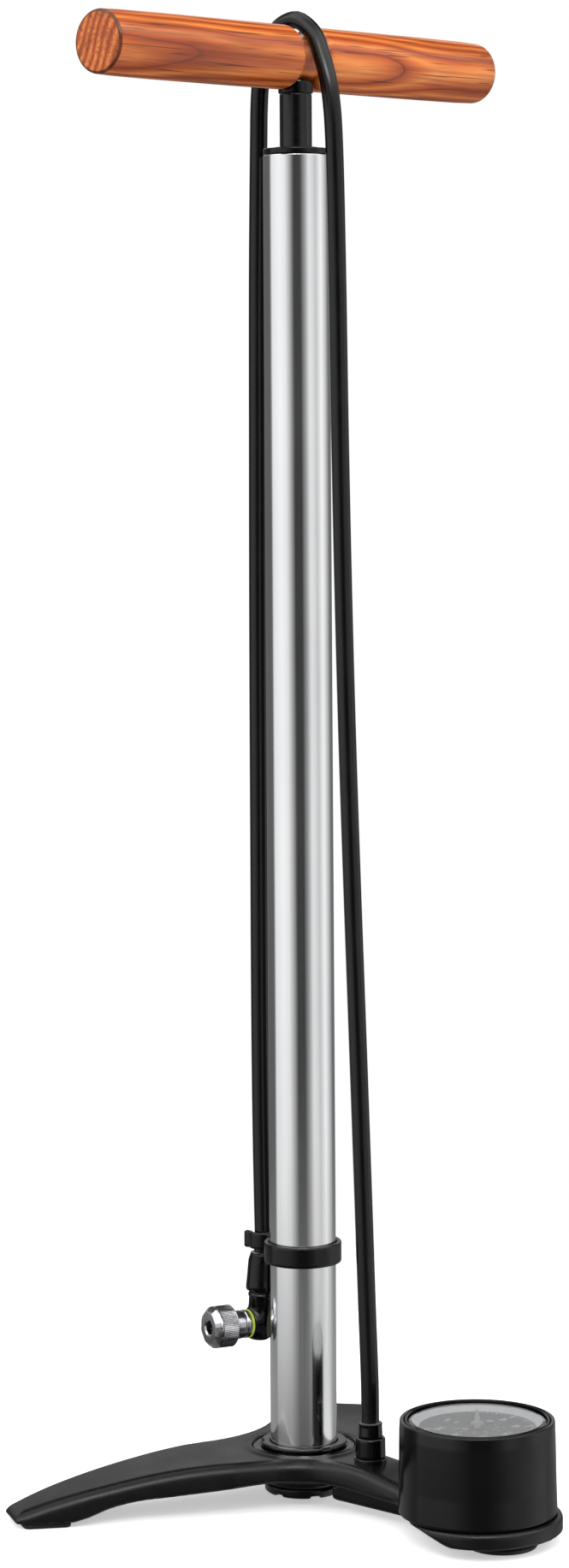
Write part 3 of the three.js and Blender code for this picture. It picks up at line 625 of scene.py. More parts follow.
def drilled(name, shell, cutters, place=STILL):
    """A mesh with cutters taken away from it."""
    target = bpy.data.objects.new(name, mesh_of(name, shell, place))
    helpers = [bpy.data.objects.new("cutter", mesh_of("cutter", cutter)) for cutter in cutters]
    for item in (target, *helpers):
        link(item)
    for helper in helpers:
        modifier = target.modifiers.new("cut", "BOOLEAN")
        modifier.object = helper
        modifier.operation = "DIFFERENCE"
    bpy.context.view_layer.update()
    result = bpy.data.meshes.new_from_object(target.evaluated_get(bpy.context.evaluated_depsgraph_get()))
    for item in (target, *helpers):
        bpy.data.objects.remove(item)
    return result


def curve_through(table):
    """A smooth function through (position, value) pairs."""
    xs, ys = np.array(table, float).T
    slopes = np.gradient(ys, xs)

    def height(x):
        x = np.clip(x, xs[0], xs[-1])
        i = np.clip(np.searchsorted(xs, x) - 1, 0, len(xs) - 2)
        wide = xs[i + 1] - xs[i]
        t = (x - xs[i]) / wide
        rise = ys[i] * (1 + 2 * t) * (1 - t) ** 2 + ys[i + 1] * t * t * (3 - 2 * t)
        return rise + wide * (slopes[i] * t * (1 - t) ** 2 + slopes[i + 1] * t * t * (t - 1))

    return height


# ---------------------------------------------------------------- hose

# The hose lies in the plane X = 0. Each point is [Y, Z]: up from the socket, over the bar, down to the head
HOSE_ROUTE = [
    [SOCKET_Y, 43], [-41.9, 60], [-40.3, 100], [-38.5, 148], [-35.7, 220], [-32.8, 292], [-30.2, 364],
    [-28.2, 437], [-26.8, 509], [-25.8, 582], [-24.8, 630], [-24, 650], [-23.2, 660], [-21.4, 671.5],
    [-18.8, 680.5], [-16, 687.8], [-13.1, 694.5], [-8, 699.77], [-1.2, 703.46], [6, 702.6], [12, 699.2],
    [17, 693.3], [20.6, 685], [22.7, 674.5], [23.7, 662], [24, 650], [24.4, 632], [25.3, 583],
    [25.9, 509], [26.5, 411], [26.7, 312], [26.7, 213], [26.2, 164], [25.5, 130], [25.3, 120], [25.75, 113.3],
]


def smooth_route(points, spacing):
    """Points about `spacing` apart on a centripetal Catmull-Rom curve."""
    points = [np.array(p, float) for p in points]
    points = [2 * points[0] - points[1], *points, 2 * points[-1] - points[-2]]
    route = []
    for four in zip(points, points[1:], points[2:], points[3:]):
        knots = np.cumsum([0] + [sqrt(np.linalg.norm(q - p)) for p, q in zip(four, four[1:])])
        count = max(1, round(np.linalg.norm(four[2] - four[1]) / spacing))
        for t in np.linspace(knots[1], knots[2], count, endpoint=False):
            level = list(four)
            for first, last in (([0, 1, 2], [1, 2, 3]), ([0, 1], [2, 3]), ([1], [2])):
                level = [
                    (p * (knots[b] - t) + q * (t - knots[a])) / (knots[b] - knots[a])
                    for p, q, a, b in zip(level, level[1:], first, last)
                ]
            route.append(level[0])
    route.append(points[-2])
    return route


def hose():
    """One continuous hose, with the points along its middle."""
    route = smooth_route(HOSE_ROUTE, 2.5)
    nodes = ("hose_front_run", "hose_arch", "hose_back_run")
    piece = show("hose", tube(route, HOSE_R, 28), "hose_rubber", nodes, crease=60)
    piece.visible_glossy = False  # the barrel in the photo hardly mirrors the hose
    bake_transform(piece)
    return piece, [PUMP @ Vector((0, y, z)) for y, z in route]


# ---------------------------------------------------------------- base

LEGS = {"left": radians(150), "rear": radians(33), "gauge": radians(-90)}
LEG_REACH = {"left": 144, "rear": 142.5}
# From here on, each pair is a distance from the barrel's axis and a half width or a height at it
LEG_HALF_WIDTH = [
    [0, 26], [26, 26.6], [42, 25.2], [60, 23], [80, 20.4], [100, 18.2], [120, 15.4], [136, 12.6],
]
LEG_TOP = curve_through(
    [[0, 25], [44, 25], [62, 24], [80, 21.8], [98, 18.7], [113, 15.6], [128, 11.8], [142.5, 7.2]]
)
LEG_UNDER = curve_through(
    [[0, 15], [26, 15], [50, 13.2], [70, 11.8], [91, 10.1], [100, 8.2], [111, 4.2], [116.5, 2.8], [143, 2.8]]
)
NECK_HALF_WIDTH = 15.5
NECK_TOP = curve_through([[0, 25], [30, 25], [50, 24], [64, 21.6], [84, 18.6], [110, 16]])
NECK_UNDER = curve_through(
    [[0, 15], [26, 15], [40, 14], [60, 12.8], [84, 11.4], [94, 7.8], [103, 2.8], [110, 2.8]]
)
TRAY_UNDER = curve_through(
    [[60, 11.6], [96, 11.4], [104, 10.6], [110, 9], [117, 6.6], [125, 4.4], [134, 3.2], [150, 2.8]]
)
TRAY_Y = -109.4
TRAY_R = 37
SOLE = 2.8  # height of the casting's lowest faces, just over the pads
PAD_H = 2.5
PAD_Y = -121  # middle of the gauge's pad
PAD_START, PAD_END = 117.5, 139.5  # the legs' pads, from the barrel's axis


def on_leg(leg, along, side):
    """The plan point `along` a leg and `side` to its left."""
    angle = LEGS[leg]
    forward = Vector((cos(angle), sin(angle)))
    return forward * along + Vector((-forward.y, forward.x)) * side


def web(first, second, count=10):
    """Plan points of the hollow between two legs; each end is (leg, side, along)."""
    starts, directions = [], []
    for leg, side, along in (first, second):
        starts.append(on_leg(leg, along, side))
        directions.append(on_leg(leg, 1, 0))
    (ax, ay), (bx, by) = directions
    gap = starts[1] - starts[0]
    corner = starts[0] + directions[0] * ((gap.x * -by + gap.y * bx) / (ax * -by + ay * bx))
    shares = [k / count for k in range(count + 1)]
    return [tuple((1 - t) ** 2 * starts[0] + 2 * t * (1 - t) * corner + t * t * starts[1]) for t in shares]


def leg_end(leg, start_left, start_right):
    """Plan points round a leg's tip, from its right flank to its left one."""
    tip = [(LEG_REACH[leg], -10.8), (LEG_REACH[leg], 10.8)]
    right = [(along, -half) for along, half in LEG_HALF_WIDTH if along > start_right]
    left = [(along, half) for along, half in reversed(LEG_HALF_WIDTH) if along > start_left]
    return [tuple(on_leg(leg, along, side)) for along, side in right + tip + left]


BASE_PLAN = [
    *web(("left", 26, 26), ("gauge", -NECK_HALF_WIDTH, 46)),
    tuple(on_leg("gauge", 96, -NECK_HALF_WIDTH)),
    tuple(on_leg("gauge", 96, NECK_HALF_WIDTH)),
    *web(("gauge", NECK_HALF_WIDTH, 46), ("rear", -26, 26)),
    *leg_end("rear", 54, 26),
    *web(("rear", 24.2, 54), ("left", -24.2, 54)),
    *leg_end("left", 26, 54),
]

# Round holes open upwards: centre along Y, radius, bottom, rounding of the rim
BASE_HOLES = [(0, 24.5, 23.2, 0.8), (0, SLIP_R, 16, 0.8), (GAUGE_Y, 36.8, 13, 0.5), (SOCKET_Y, 4.3, 16, 0.8)]


def along_and_side(angle, x, y):
    """How far a plan point lies along a direction, and to the left of it."""
    forward, left = cos(angle), sin(angle)
    return x * forward + y * left, y * forward - x * left


def base_field(x, y, z):
    plan = plan_distance(BASE_PLAN, x, y)
    top, under = np.inf, 15.0
    for leg, over_curve, under_curve in (
        ("left", LEG_TOP, LEG_UNDER), ("rear", LEG_TOP, LEG_UNDER), ("gauge", NECK_TOP, NECK_UNDER),
    ):
        along = np.maximum(along_and_side(LEGS[leg], x, y)[0], 0)
        top = np.minimum(top, over_curve(along))
        under = np.minimum(under, under_curve(along))
    arms = meet(meet(plan, z - top, 6), under - z, 1.6)
    from_tray = np.hypot(x, y - TRAY_Y)
    dish = meet(from_tray - np.minimum(26 + (z - SOLE) * 3.1, TRAY_R), slab(z, SOLE, 13, 1), 2.2)
    dish = meet(dish, TRAY_UNDER(-y) - z, 2)
    nose = meet(np.hypot(x, y - PAD_Y) - 17 - (z - SOLE) * 1.8, slab(z, SOLE, 12, 1), 1)
    dish = join(dish, meet(nose, from_tray - TRAY_R + 2.3, 2), 3)
    arms = join(arms, dish, 7)
    hub = meet(np.hypot(x, y) - 27, slab(z, 12.8, HUB_TOP), 3)
    boss = meet(np.hypot(x, y) - 19, slab(z, 8.6, 14), 1)
    body = join(join(arms, hub, 3), boss, 2)
    body = np.maximum(body, SOLE - z)
    for spot, radius, bottom, rim in BASE_HOLES:
        hole = meet(np.hypot(x, y - spot) - radius, bottom - z, 0.3)
        body = meet(body, -hole, rim)
    plug = meet(np.hypot(x, y) - 12.4, z - 12.6, 0.3)
    return meet(body, -plug, 0.6)


def foot_pad(leg):
    """A rubber pad shaped to the end of a leg."""

    def field(x, y, z):
        along, side = along_and_side(LEGS[leg], x, y)
        half = 13.4 - 3.2 * (along - PAD_START) / (PAD_END - PAD_START)
        plan = meet(np.abs(side) - half, slab(along, PAD_START, PAD_END), 3)
        return meet(plan, slab(z, 0, PAD_H), 1)

    spot = on_leg(leg, (PAD_START + PAD_END) / 2, 0)
    return surface_net(field, (spot.x - 17, spot.y - 17, -1), (spot.x + 17, spot.y + 17, 4), 0.5)


def gauge_pad(x, y, z):
    """A round pad under the gauge, whose side slopes outwards."""
    return meet(np.hypot(x, y - PAD_Y) - 16 - z * 0.4, slab(z, 0, PAD_H), 1)


def lock_ring(x, y, z):
    """The ring that holds the barrel down, with three spanner slots."""
    outer = 20.4
    ring = meet(slab(np.hypot(x, y), SLIP_R, outer), slab(z, 25.7, 27.6), 0.8)
    for degrees in (15, 135, 255):
        along, side = along_and_side(radians(degrees), x, y)
        slot = meet(meet(np.abs(along - outer) - 1.5, np.abs(side) - 2.5, 0.3), 26.7 - z, 0.3)
        ring = meet(ring, -slot, 0.3)
    return ring


def hub_plug(x, y, z):
    """The black plug under the hub, with six spanner notches."""
    away = np.hypot(x, y)
    disc = meet(away - 18.6 + np.maximum(4.7 - z, 0), slab(z, 3.7, 8.3), 0.8)
    neck = meet(away - 12, slab(z, 8, 12.2), 0.8)
    plug = join(disc, neck, 0.6)
    for k in range(3):
        side = along_and_side(k * pi / 3, x, y)[1]
        notch = meet(meet(np.abs(side) - 2.5, 12 - away, 0.4), z - 5, 0.4)
        plug = meet(plug, -notch, 0.5)
    return plug


def passage_cover(x, y, z):
    """The long rib under the neck, which closes the air passage."""
    away = -y
    low = np.where(away > 50, 4.8 + np.maximum(away - 71, 0), 4.8 + np.maximum(27 - away, 0) * 0.2)
    high = np.where(away > 27.4, 14.5 - (away - 27.4) * 0.06, 12.5)
    block = meet(slab(away, 24.2, 73.8, 1), meet(low - z, z - high, 0.4), 1)
    return meet(block, np.abs(x) - 8, 2)


def build_valve_spring():
    """The coil under the check valve's poppet, pressed against the plug when the valve opens."""
    low, high = heights("check_valve_spring")
    wire = 0.4
    spring = coil(reach("check_valve_spring") - wire, wire, low, high, 3)
    piece = add("fine_valve_spring", "check_valve_spring", spring, crease=80)
    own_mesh(piece)


def build_base():
    add_net("fine_base", "base_casting", base_field, (-146, -150, 0), (146, 146, 27), 1.0)
    for leg in ("left", "rear"):
        add(f"fine_foot_pad_{leg}", f"foot_pad_{leg}", foot_pad(leg), crease=60)
    add_net("fine_gauge_pad", "foot_pad_gauge", gauge_pad, (-22, -141, -1), (22, -97, 4))
    add_net("fine_lock_ring", "barrel_lock_ring", lock_ring, (-22, -22, 25), (22, 22, 28.4), 0.3)
    add_net("fine_hub_plug", "hub_plug", hub_plug, (-20, -20, 3), (20, 20, 13))
    add_net("fine_passage_cover", "air_passage_cover", passage_cover, (-10, -76, 4), (10, -22, 16))
    seat = [
        (SLIP_R, 23.5), (24.2, 23.5), (24.2, 25), (22.6, 25.4), (21, 25.4), (20.8, 25.1), (SLIP_R, 25.1),
    ]
    add_turned("fine_seat_ring", "barrel_seat_ring", seat, 0.35, 160, crease=50)


# ---------------------------------------------------------------- barrel, plunger and handle


def build_barrel():
    inner, outer = BARREL_R - 1.4, BARREL_R
    wall = [(inner, BARREL_FOOT), (outer, BARREL_FOOT), (outer, BARREL_TOP), (inner, BARREL_TOP)]
    add_turned("fine_barrel", "barrel_tube", wall, 0.3, 160)
    cap_foot, cap_top = heights("top_cap")
    cap_r = reach("top_cap")
    inner = BARREL_R - 1.7
    outline = [
        (inner, BARREL_TOP + 0.3), (cap_r, BARREL_TOP + 0.3), (cap_r, cap_top), (ROD_R + 3.4, cap_top),
        (ROD_R + 3.4, cap_top - 1.2), (ROD_R + 0.6, cap_top - 1.2), (ROD_R + 0.6, cap_foot + 8),
        (inner - 2, cap_foot + 8), (inner - 2, cap_foot), (inner, cap_foot),
    ]
    add_turned("fine_cap", "top_cap", outline, 0.5, 128)


def build_rod():
    foot, top = heights("plunger_rod")
    wall = [(ROD_R - 1.5, foot), (ROD_R, foot), (ROD_R, top), (ROD_R - 1.5, top)]
    add_turned("fine_rod", "plunger_rod", wall, 0.3)
    foot, top = heights("handle_ferrule")
    ferrule_r = reach("handle_ferrule")
    collar = [(3.5, foot), (ferrule_r - 0.4, foot), (ferrule_r, foot + 0.6), (ferrule_r, top), (3.5, top)]
    add_turned("fine_handle_ferrule", "handle_ferrule", collar, 0.35)


def build_handle():
    """The turned bar with its waist for the hose, bored for the bolt."""
    neck_r, neck, shoulder = 11, 7, 4.4
    bends = [radians(k * 10) for k in range(10)]
    half = [
        (neck_r, neck - 0.5), (neck_r + 0.4, neck),
        *[(HANDLE_R - shoulder * (1 - sin(a)), neck + shoulder * (1 - cos(a))) for a in bends],
        (15.4, HANDLE_HALF - 40), (15.2, HANDLE_HALF - 12), (14.85, HANDLE_HALF - 0.8), (13.95, HANDLE_HALF),
        (0, HANDLE_HALF),
    ]
    outline = rounded([(r, -x) for r, x in reversed(half)] + half, 0.6, held=False)
    turn = Matrix.Translation((0, 0, HANDLE_Z)) @ QUARTER
    base = HANDLE_Z - HANDLE_R
    rod_end = 674.3
    bolt_seat = HANDLE_Z + 6
    cutters = [
        lathe([(0, base - 2), (8.6, base - 2), (8.6, rod_end), (0, rod_end)], 64),
        lathe([(0, rod_end - 4), (3.5, rod_end - 4), (3.5, HANDLE_Z + 8), (0, HANDLE_Z + 8)], 48),
        lathe([(0, bolt_seat), (6.2, bolt_seat), (6.2, HANDLE_Z + 20), (0, HANDLE_Z + 20)], 64),
    ]
    add("fine_handle", "handle_bar", drilled("fine_handle", lathe(outline, 160), cutters, turn), crease=30)


# ---------------------------------------------------------------- gauge

DIAL_SPAN = 240  # psi
DIAL_SWEEP = radians(260)
PSI_PER_BAR = 14.504


def build_gauge():
    low_r, top_r = GAUGE_R, GAUGE_R - 0.9
    housing = [
        (33, 15.5), (33, 50.6), (31.2, 51.4), (33.6, 51.4), (33.6, GAUGE_TOP), (top_r, GAUGE_TOP),
        (top_r + 0.25, 50), (low_r - 0.35, 27), (low_r, GAUGE_FOOT), (5, GAUGE_FOOT), (5, 15.5),
    ]
    add("fine_housing", "gauge_housing", lathe(rounded(housing, 0.9, 4), 192), GAUGE, 50)
    foot, top = heights("gauge_bezel")
    outer = reach("gauge_bezel")
    bezel = [
        (outer - 0.8, foot), (outer, foot), (outer, top - 0.3), (outer - 0.5, top), (outer - 1.2, top - 0.3),
        (outer - 0.8, top - 0.4),
    ]
    add_turned("fine_bezel", "gauge_bezel", bezel, 0.1, 192, GAUGE)
    lens_foot, top = heights("gauge_lens")
    lens = [(0, lens_foot), (LENS_R, lens_foot), (LENS_R, top - 0.7), (LENS_R - 2.2, top), (0, top)]
    add_turned("fine_lens", "gauge_lens", lens, 0.3, 192, GAUGE)
    foot, top = heights("gauge_dial")
    face_z, brim = top - 0.15, lens_foot - 0.5
    plate = [(1.9, foot), (30.9, foot), (30.9, brim), (30.5, brim), (27, face_z), (1.9, face_z)]
    dial = add("fine_dial", "gauge_dial", lathe(plate, 192), GAUGE)
    dial.data.materials.append(DIAL_RIM)
    for face in dial.data.polygons:
        spot = PUMP.inverted() @ face.center
        if hypot(spot.x, spot.y - GAUGE_Y) > 27.2 and spot.z > foot:
            face.material_index = 1
    build_dial_print(face_z)
    build_needle()


def dial_angle(value):
    """The pointer's angle from +X for a reading. The scale's gap faces the barrel."""
    return radians(40) - DIAL_SWEEP * value / DIAL_SPAN


def flat_mark(angle, near, far, half, z):
    """The corners of a printed stroke that points at the dial's centre."""
    out = Vector((cos(angle), sin(angle)))
    side = Vector((-out.y, out.x))
    corners = ((near, -half), (far, -half), (far, half), (near, half))
    return [(*(out * along + side * across), z) for along, across in corners]


def lettering(text, size, x, y):
    """Text as vertices and faces, upright for a reader who looks over the barrel at the gauge."""
    curve = bpy.data.curves.new("lettering", "FONT")
    curve.body = text
    curve.size = size
    curve.align_x = curve.align_y = "CENTER"
    helper = bpy.data.objects.new("lettering", curve)
    mesh = helper.to_mesh()
    vertices = [(x - v.co.x, y - v.co.y, 0) for v in mesh.vertices]
    faces = [list(face.vertices) for face in mesh.polygons]
    helper.to_mesh_clear()
    bpy.data.objects.remove(helper)
    return vertices, faces


def build_dial_print(z):
    vertices, faces = [], []

    def put(shape_vertices, shape_faces):
        start = len(vertices)
        vertices.extend((x, y, z + 0.03) for x, y, _ in shape_vertices)
        faces.extend([start + i for i in face] for face in shape_faces)

    for value in range(0, DIAL_SPAN + 1, 5):
        near, half = (21.6, 0.42) if value % 40 == 0 else (23.4, 0.25) if value % 20 == 0 else (24.4, 0.16)
        put(flat_mark(dial_angle(value), near, 26.4, half, z), [[0, 1, 2, 3]])
        if value % 40 == 0:
            angle = dial_angle(value)
            put(*lettering(str(value), 4.4, 17.6 * cos(angle), 17.6 * sin(angle)))
    for bar in range(0, 17, 2):
        angle = dial_angle(bar * PSI_PER_BAR)
        put(flat_mark(angle, 11.2, 12.4, 0.2, z), [[0, 1, 2, 3]])
        put(*lettering(str(bar), 2.2, 9.2 * cos(angle), 9.2 * sin(angle)))
    put(*lettering("psi", 4, 0, 17.5))
    put(*lettering("bar", 2.6, 0, 12.2))
    mesh = mesh_of("fine_dial_print", (vertices, faces), GAUGE)
    for face in mesh.polygons:
        if face.normal.z < 0:
            face.flip()
    piece = show("fine_dial_print", mesh, "dial_face")
    piece.data.materials[0] = DIAL_PRINT
    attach(piece, "root")


def build_needle():
    foot, top = heights("gauge_needle")
    low, high = foot, foot + 0.6
    outline = [(-7, 1.4), (0, 1.5), (8, 1.1), (22, 0.55), (25, 0.18)]
    plan = [(x, half) for x, half in outline] + [(x, -half) for x, half in reversed(outline)]
    turn = Matrix.Rotation(dial_angle(0), 4, "Z")
    vertices = [(x, y, z) for z in (low, high) for x, y in plan]
    count = len(plan)
    faces = [list(range(count)), list(range(count, 2 * count))]
    faces += [[i, (i + 1) % count, count + (i + 1) % count, count + i] for i in range(count)]
    hub = rounded([(0, low), (3, low), (3, top - 0.3), (2.6, top), (0, top)], 0.3)
    hub_vertices, hub_faces = lathe(hub, 48)
    faces += [[len(vertices) + i for i in face] for face in hub_faces]
    add("fine_needle", "gauge_needle", (vertices + hub_vertices, faces), GAUGE @ turn)


# ---------------------------------------------------------------- hose socket, clip and head


def build_socket():
    flange_r, nut_r, boot_r = reach("hose_socket"), reach("hose_socket_nut"), reach("hose_boot")
    bore = 2.6
    foot, top = heights("hose_socket")
    flange = [(bore, foot), (flange_r, foot), (flange_r, top), (bore, top)]
    add_turned("fine_socket", "hose_socket", flange, 0.3, place=SOCKET)
    foot, top = heights("hose_socket_nut")
    nut = [(bore, foot), (nut_r, foot), (nut_r - 0.1, top - 0.8), (nut_r - 0.7, top), (bore, top)]
    add_turned("fine_hose_nut", "hose_socket_nut", nut, 0.5, place=SOCKET)
    foot, top = heights("hose_boot")
    boot = [
        (bore, foot), (boot_r, foot), (boot_r - 0.25, top - 1.4), (boot_r - 0.05, top), (HOSE_R - 1.2, top),
    ]
    add_turned("fine_hose_boot", "hose_boot", boot, 0.4, place=SOCKET)


def hose_clip(x, y, z):
    """A band round the barrel with an open snap ring for the hose."""
    hose_y, hose_r = 25.3, 5.05
    band = slab(np.hypot(x, y), SLIP_R, 18.5, 0.6)
    across = np.hypot(x, y - hose_y)
    ring = slab(across, hose_r, hose_r + 2, 0.6)
    mouth = meet(np.abs(x) - 3.2, hose_y - y, 0.5)
    ring = meet(ring, -mouth, 0.6)
    neck = meet(np.abs(x) - 3.5, slab(y, 16.6, 22, 0.5), 0.5)
    neck = meet(meet(neck, SLIP_R - np.hypot(x, y), 0.3), hose_r - across, 0.3)
    lips = meet(np.abs(np.abs(x) - 4.5) - 1.3, np.abs(y - 31.4) - 1.5, 0.8)
    band = meet(band, slab(z, 112.4, 122.2, 0.8), 1)
    snap = meet(join(ring, lips, 1.2), slab(z, 115.4, 123.4, 0.8), 1)
    neck = meet(neck, slab(z, 113.6, 122.8, 0.8), 1)
    return join(join(band, neck, 1.6), snap, 1.2)


CHUCK_R = 6.7
COLLAR_R = 9.85
COLLAR_START = 16.2
COLLAR_FRONT = 28.5
COLLAR_FLATS = 8
COLLAR_KNURLS = 90


def swivel_frame():
    """The pump head's frame: its origin on the swivel, Z up the hose, X along the branch to the chuck."""
    swivel = JOINTS["head_swivel"]
    up = Vector(swivel["axis"]).normalized()
    branch = Vector(JOINTS["collar_slide"]["axis"]).normalized()
    side = up.cross(branch).normalized()
    turn = Matrix((side.cross(up), side, up)).transposed().to_4x4()
    return PUMP.inverted() @ Matrix.Translation(swivel["pos_m"]) @ Matrix.Scale(MM, 4) @ turn


def elbow(x, y, z):
    """The moulded elbow under the hose, with a short branch towards the chuck."""
    away = np.hypot(x, y)
    upright = meet(away - 4.2 - np.clip(z + 8, 0, 1.6), slab(z, -8, 15.7, 1), 1)
    branch = meet(np.hypot(y, z) - CHUCK_R, slab(x, 0, 5.8, 0.6), 0.6)
    bead = meet(away - 6.2, np.abs(z - 13.6) - 0.7, 0.6)
    return join(join(upright, branch, 2.4), bead, 0.5)


def collar_shape(radius, along, angle):
    """Knurling round the rear of the collar and flats ground on its chamfer."""
    if radius > 9 and COLLAR_START + 0.6 < along < COLLAR_FRONT - 3.8:
        return radius - 0.15 * abs(sin(angle * COLLAR_KNURLS / 2))
    if radius > 7 and along > COLLAR_FRONT - 2.6:
        step = 2 * pi / COLLAR_FLATS
        away = (angle + step / 2) % step - step / 2
        return min(radius, radius * 0.96 / cos(away))
    return radius


def build_head():
    head = swivel_frame()
    chuck = head @ QUARTER
    cone = [(2.6, 16), (7.4, 16), (7.4, 18.5), (7.2, 21), (6.8, 30), (5.8, 33.9), (2.6, 33.9)]
    add_turned("fine_head_ferrule", "head_ferrule", cone, 0.5, place=head)
    add_net("fine_head_elbow", "head_elbow", elbow, (-7.5, -7.5, -9), (7.5, 7.5, 17), 0.4, head)
    ring = [(2, 6.2), (CHUCK_R, 6.2), (CHUCK_R, 7.3), (2, 7.3)]
    add_turned("fine_chuck_ring", "chuck_ring", ring, 0.3, place=chuck)
    sleeve = [
        (2, 7.8), (CHUCK_R, 7.8), (CHUCK_R, 9.4), (CHUCK_R - 0.4, 9.7), (CHUCK_R - 0.4, 10.6),
        (CHUCK_R, 10.9), (CHUCK_R, 23.7), (CHUCK_R - 0.6, 24.5), (4.4, 24.5), (4.4, 21.7), (2, 21.7),
    ]
    add_turned("fine_chuck_sleeve", "chuck_sleeve", sleeve, 0.2, 128, chuck)
    seal = [(2.2, 22), (4.1, 22), (4.1, 24.2), (2.8, 24.2), (2.2, 23.5)]
    add_turned("fine_chuck_gasket", "chuck_gasket", seal, 0.3, 64, chuck)
    rear, front, outer, bore = COLLAR_START, COLLAR_FRONT, COLLAR_R, CHUCK_R + 0.3
    collar = [
        (bore, rear), (outer - 0.5, rear), (outer, rear + 0.5), (outer, rear + 0.7), (outer, front - 3.9),
        (outer, front - 3.7), (outer - 0.45, front - 3.5), (outer, front - 3.3), (outer, front - 2.9),
        (outer - 0.1, front - 2.4), (7.9, front - 0.5), (7.4, front - 0.2), (6.8, front - 0.3),
        (4, front - 0.3), (3.2, front - 0.9), (3.2, front - 3.2), (bore, front - 3.2),
    ]
    add("fine_chuck_collar", "chuck_collar", lathe(collar, 540, collar_shape), chuck, 25)


# ---------------------------------------------------------------- studio

# Each pair is an angle in degrees, and a brightness or a share at it. First, angles round the pump, with 0
# towards the camera: the walls, their part near the floor, and how far a direction counts as behind the pump
ROOM_LEVEL = [
    (-180, 0.1), (-105, 0.1), (-98, 0.75), (-62, 0.9), (-41, 0.8), (-11, 0.04), (13, 0.04), (30, 0.35),
    (43, 0.78), (57, 0.7), (69, 0.54), (92, 0.91), (120, 0.4), (134, 0.15), (180, 0.1),
]
ROOM_LOW = [
    (-180, 0.1), (-125, 0.26), (-90, 0.14), (-60, 0.06), (-38, 0.03), (27, 0.03), (46, 0.2), (70, 0.85),
    (104, 0.85), (122, 0.25), (180, 0.1),
]
ROOM_BEHIND = [(-180, 1), (-125, 1), (-95, 0), (95, 0), (125, 1), (180, 1)]
# Then angles above the horizon: the room over the walls, on the camera's side and behind the pump, and how
# far it, a grey layer low on the walls, and the walls' part near the floor are seen
ABOVE_AHEAD = [(16, 0.2), (26, 1.8), (50, 1.9), (72, 0.8), (90, 0.3)]
ABOVE_BEHIND = [(7, 0.1), (12, 0.42), (17, 0.52), (22.5, 0.62), (25, 0.3), (28, 0.05), (60, 0.05), (80, 0.3)]
SHARE_AHEAD = [(14, 0), (24, 1)]
SHARE_BEHIND = [(5, 0), (10, 1)]
GREY_SHARE = [(-14.4, 0.85), (-11.3, 0)]
LOW_SHARE = [(-14.9, 1), (-14.4, 0)]
ROOM_GREY = 0.34
ROOM_STRENGTH = 1.3


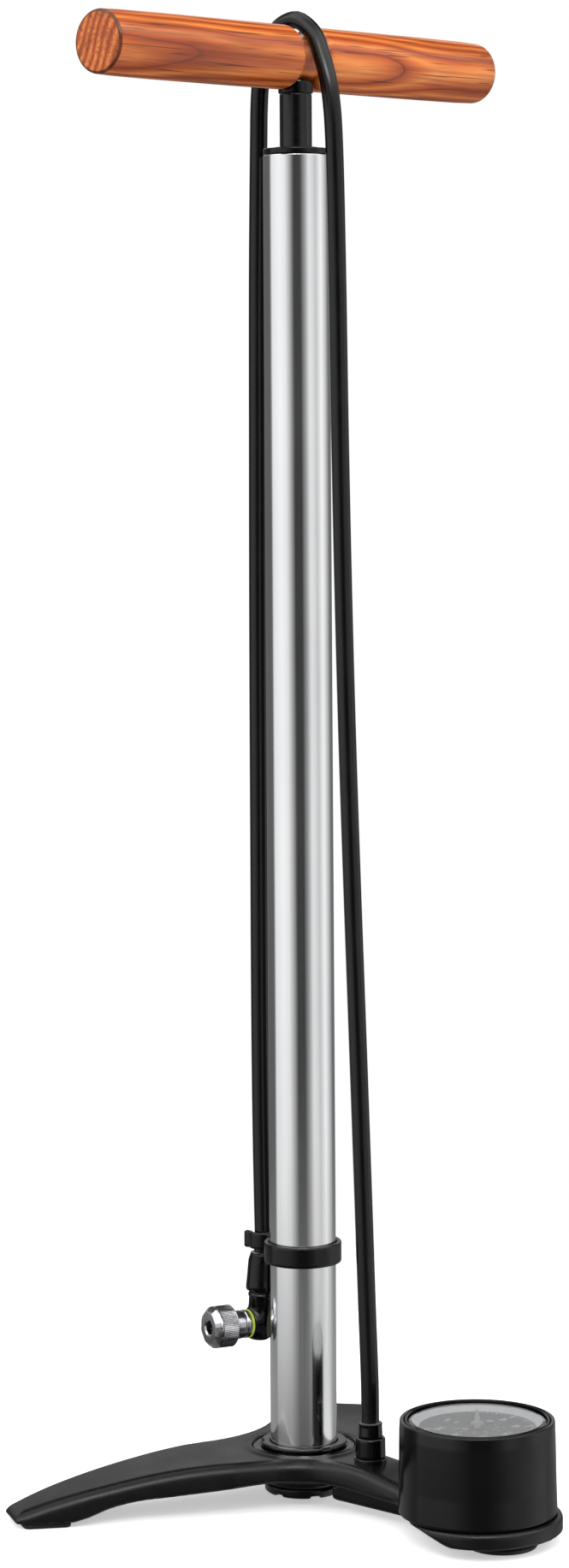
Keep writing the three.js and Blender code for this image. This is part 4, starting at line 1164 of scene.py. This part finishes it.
def light_map():
    """A white room for the camera; for reflections, a dark room with broad bright walls round the pump."""
    world = bpy.data.worlds.new("studio")
    bpy.context.scene.world = world
    tree = NodeTree(world)
    x, y, z = tree.split(tree.node("TexCoord").outputs["Generated"])
    ahead = tree.maths("ADD", tree.maths("MULTIPLY", x, TO_CAMERA.x), tree.maths("MULTIPLY", y, TO_CAMERA.y))
    right = tree.maths("ADD", tree.maths("MULTIPLY", x, -TO_CAMERA.y), tree.maths("MULTIPLY", y, TO_CAMERA.x))
    turn = tree.maths("MULTIPLY_ADD", tree.maths("ARCTAN2", right, ahead), 0.5 / pi, 0.5)
    rise = tree.maths("MULTIPLY_ADD", z, 0.5, 0.5)

    def around(row):
        return tree.ramp(turn, *[((degrees + 180) / 360, grey) for degrees, grey in row])

    def upwards(row):
        return tree.ramp(rise, *[(sin(radians(degrees)) / 2 + 0.5, grey) for degrees, grey in row])

    walls = tree.mix(upwards(GREY_SHARE), around(ROOM_LEVEL), (ROOM_GREY,) * 3)
    walls = tree.mix(upwards(LOW_SHARE), walls, around(ROOM_LOW))
    front = tree.mix(upwards(SHARE_AHEAD), walls, upwards(ABOVE_AHEAD))
    back = tree.mix(upwards(SHARE_BEHIND), walls, upwards(ABOVE_BEHIND))
    room = tree.mix(around(ROOM_BEHIND), front, back)
    lit = tree.node("Background", {"Color": room, "Strength": ROOM_STRENGTH})
    seen = tree.node("Background", {"Color": (1, 1, 1)})
    for_camera = tree.node("LightPath").outputs["Is Camera Ray"]
    chooser = tree.node("MixShader", {0: for_camera, 1: lit.outputs[0], 2: seen.outputs[0]})
    tree.node("OutputWorld", {"Surface": chooser.outputs[0]})


def build_floor():
    """A pale disc that fades into the white of the room."""
    mesh = bpy.data.meshes.new("floor")
    edit = bmesh.new()
    bmesh.ops.create_circle(edit, cap_ends=True, segments=96, radius=1.2)
    edit.to_mesh(mesh)
    edit.free()
    finish = Finish("floor_paper", Emission_Color=(1, 1, 1), Emission_Strength=0.45)
    x, y, z = finish.split(finish.place)
    grain = finish.noise(900)
    finish.vary(grain, 0.9, 0.93, 0.7, 0.85)
    finish.drive(Alpha=finish.ramp(finish.hypot(x, y), (0.34, 1.0), (0.6, 0.0)))
    finish.bump(grain, 0.02)
    mesh.materials.append(finish.material)
    floor = bpy.data.objects.new("floor", mesh)
    link(floor)
    floor.visible_glossy = False  # the pump's sides stay dark down to the floor


def add_soft_box(name, place, size, energy):
    """A rectangular soft box aimed at the middle of the pump."""
    light = bpy.data.objects.new(name, bpy.data.lights.new(name, "AREA"))
    light.data.shape = "RECTANGLE"
    light.data.size, light.data.size_y = size
    light.data.energy = energy
    light.location = place
    light.rotation_euler = (Vector((0, 0, 0.45)) - light.location).to_track_quat("-Z", "Y").to_euler()
    link(light)


# ---------------------------------------------------------------- assembly


def finish_cad_nodes():
    """Procedural finishes and smooth shading for the CAD nodes that stay."""
    for node, piece in frame["nodes"].items():
        shade(piece.data, 30)
        piece.data.materials.clear()
        piece.data.materials.append(FINISHES[SLOT_OF[node]])


finish_cad_nodes()
hose_piece, hose_path = hose()
build_head()
build_base()
build_valve_spring()
build_barrel()
build_rod()
build_handle()
build_gauge()
build_socket()
add_net("fine_hose_clip", "hose_clip", hose_clip, (-20, -20, 111), (20, 34, 125))
light_map()
build_floor()
add_soft_box("overhead", Vector((0.2, 0.5, 2.2)), (1.6, 1.2), 6)
add_soft_box("key", TO_CAMERA * 2 + Vector((0, 0, 1.75)), (1.3, 0.3), 12)
bpy.context.scene.view_settings.view_transform = "Standard"
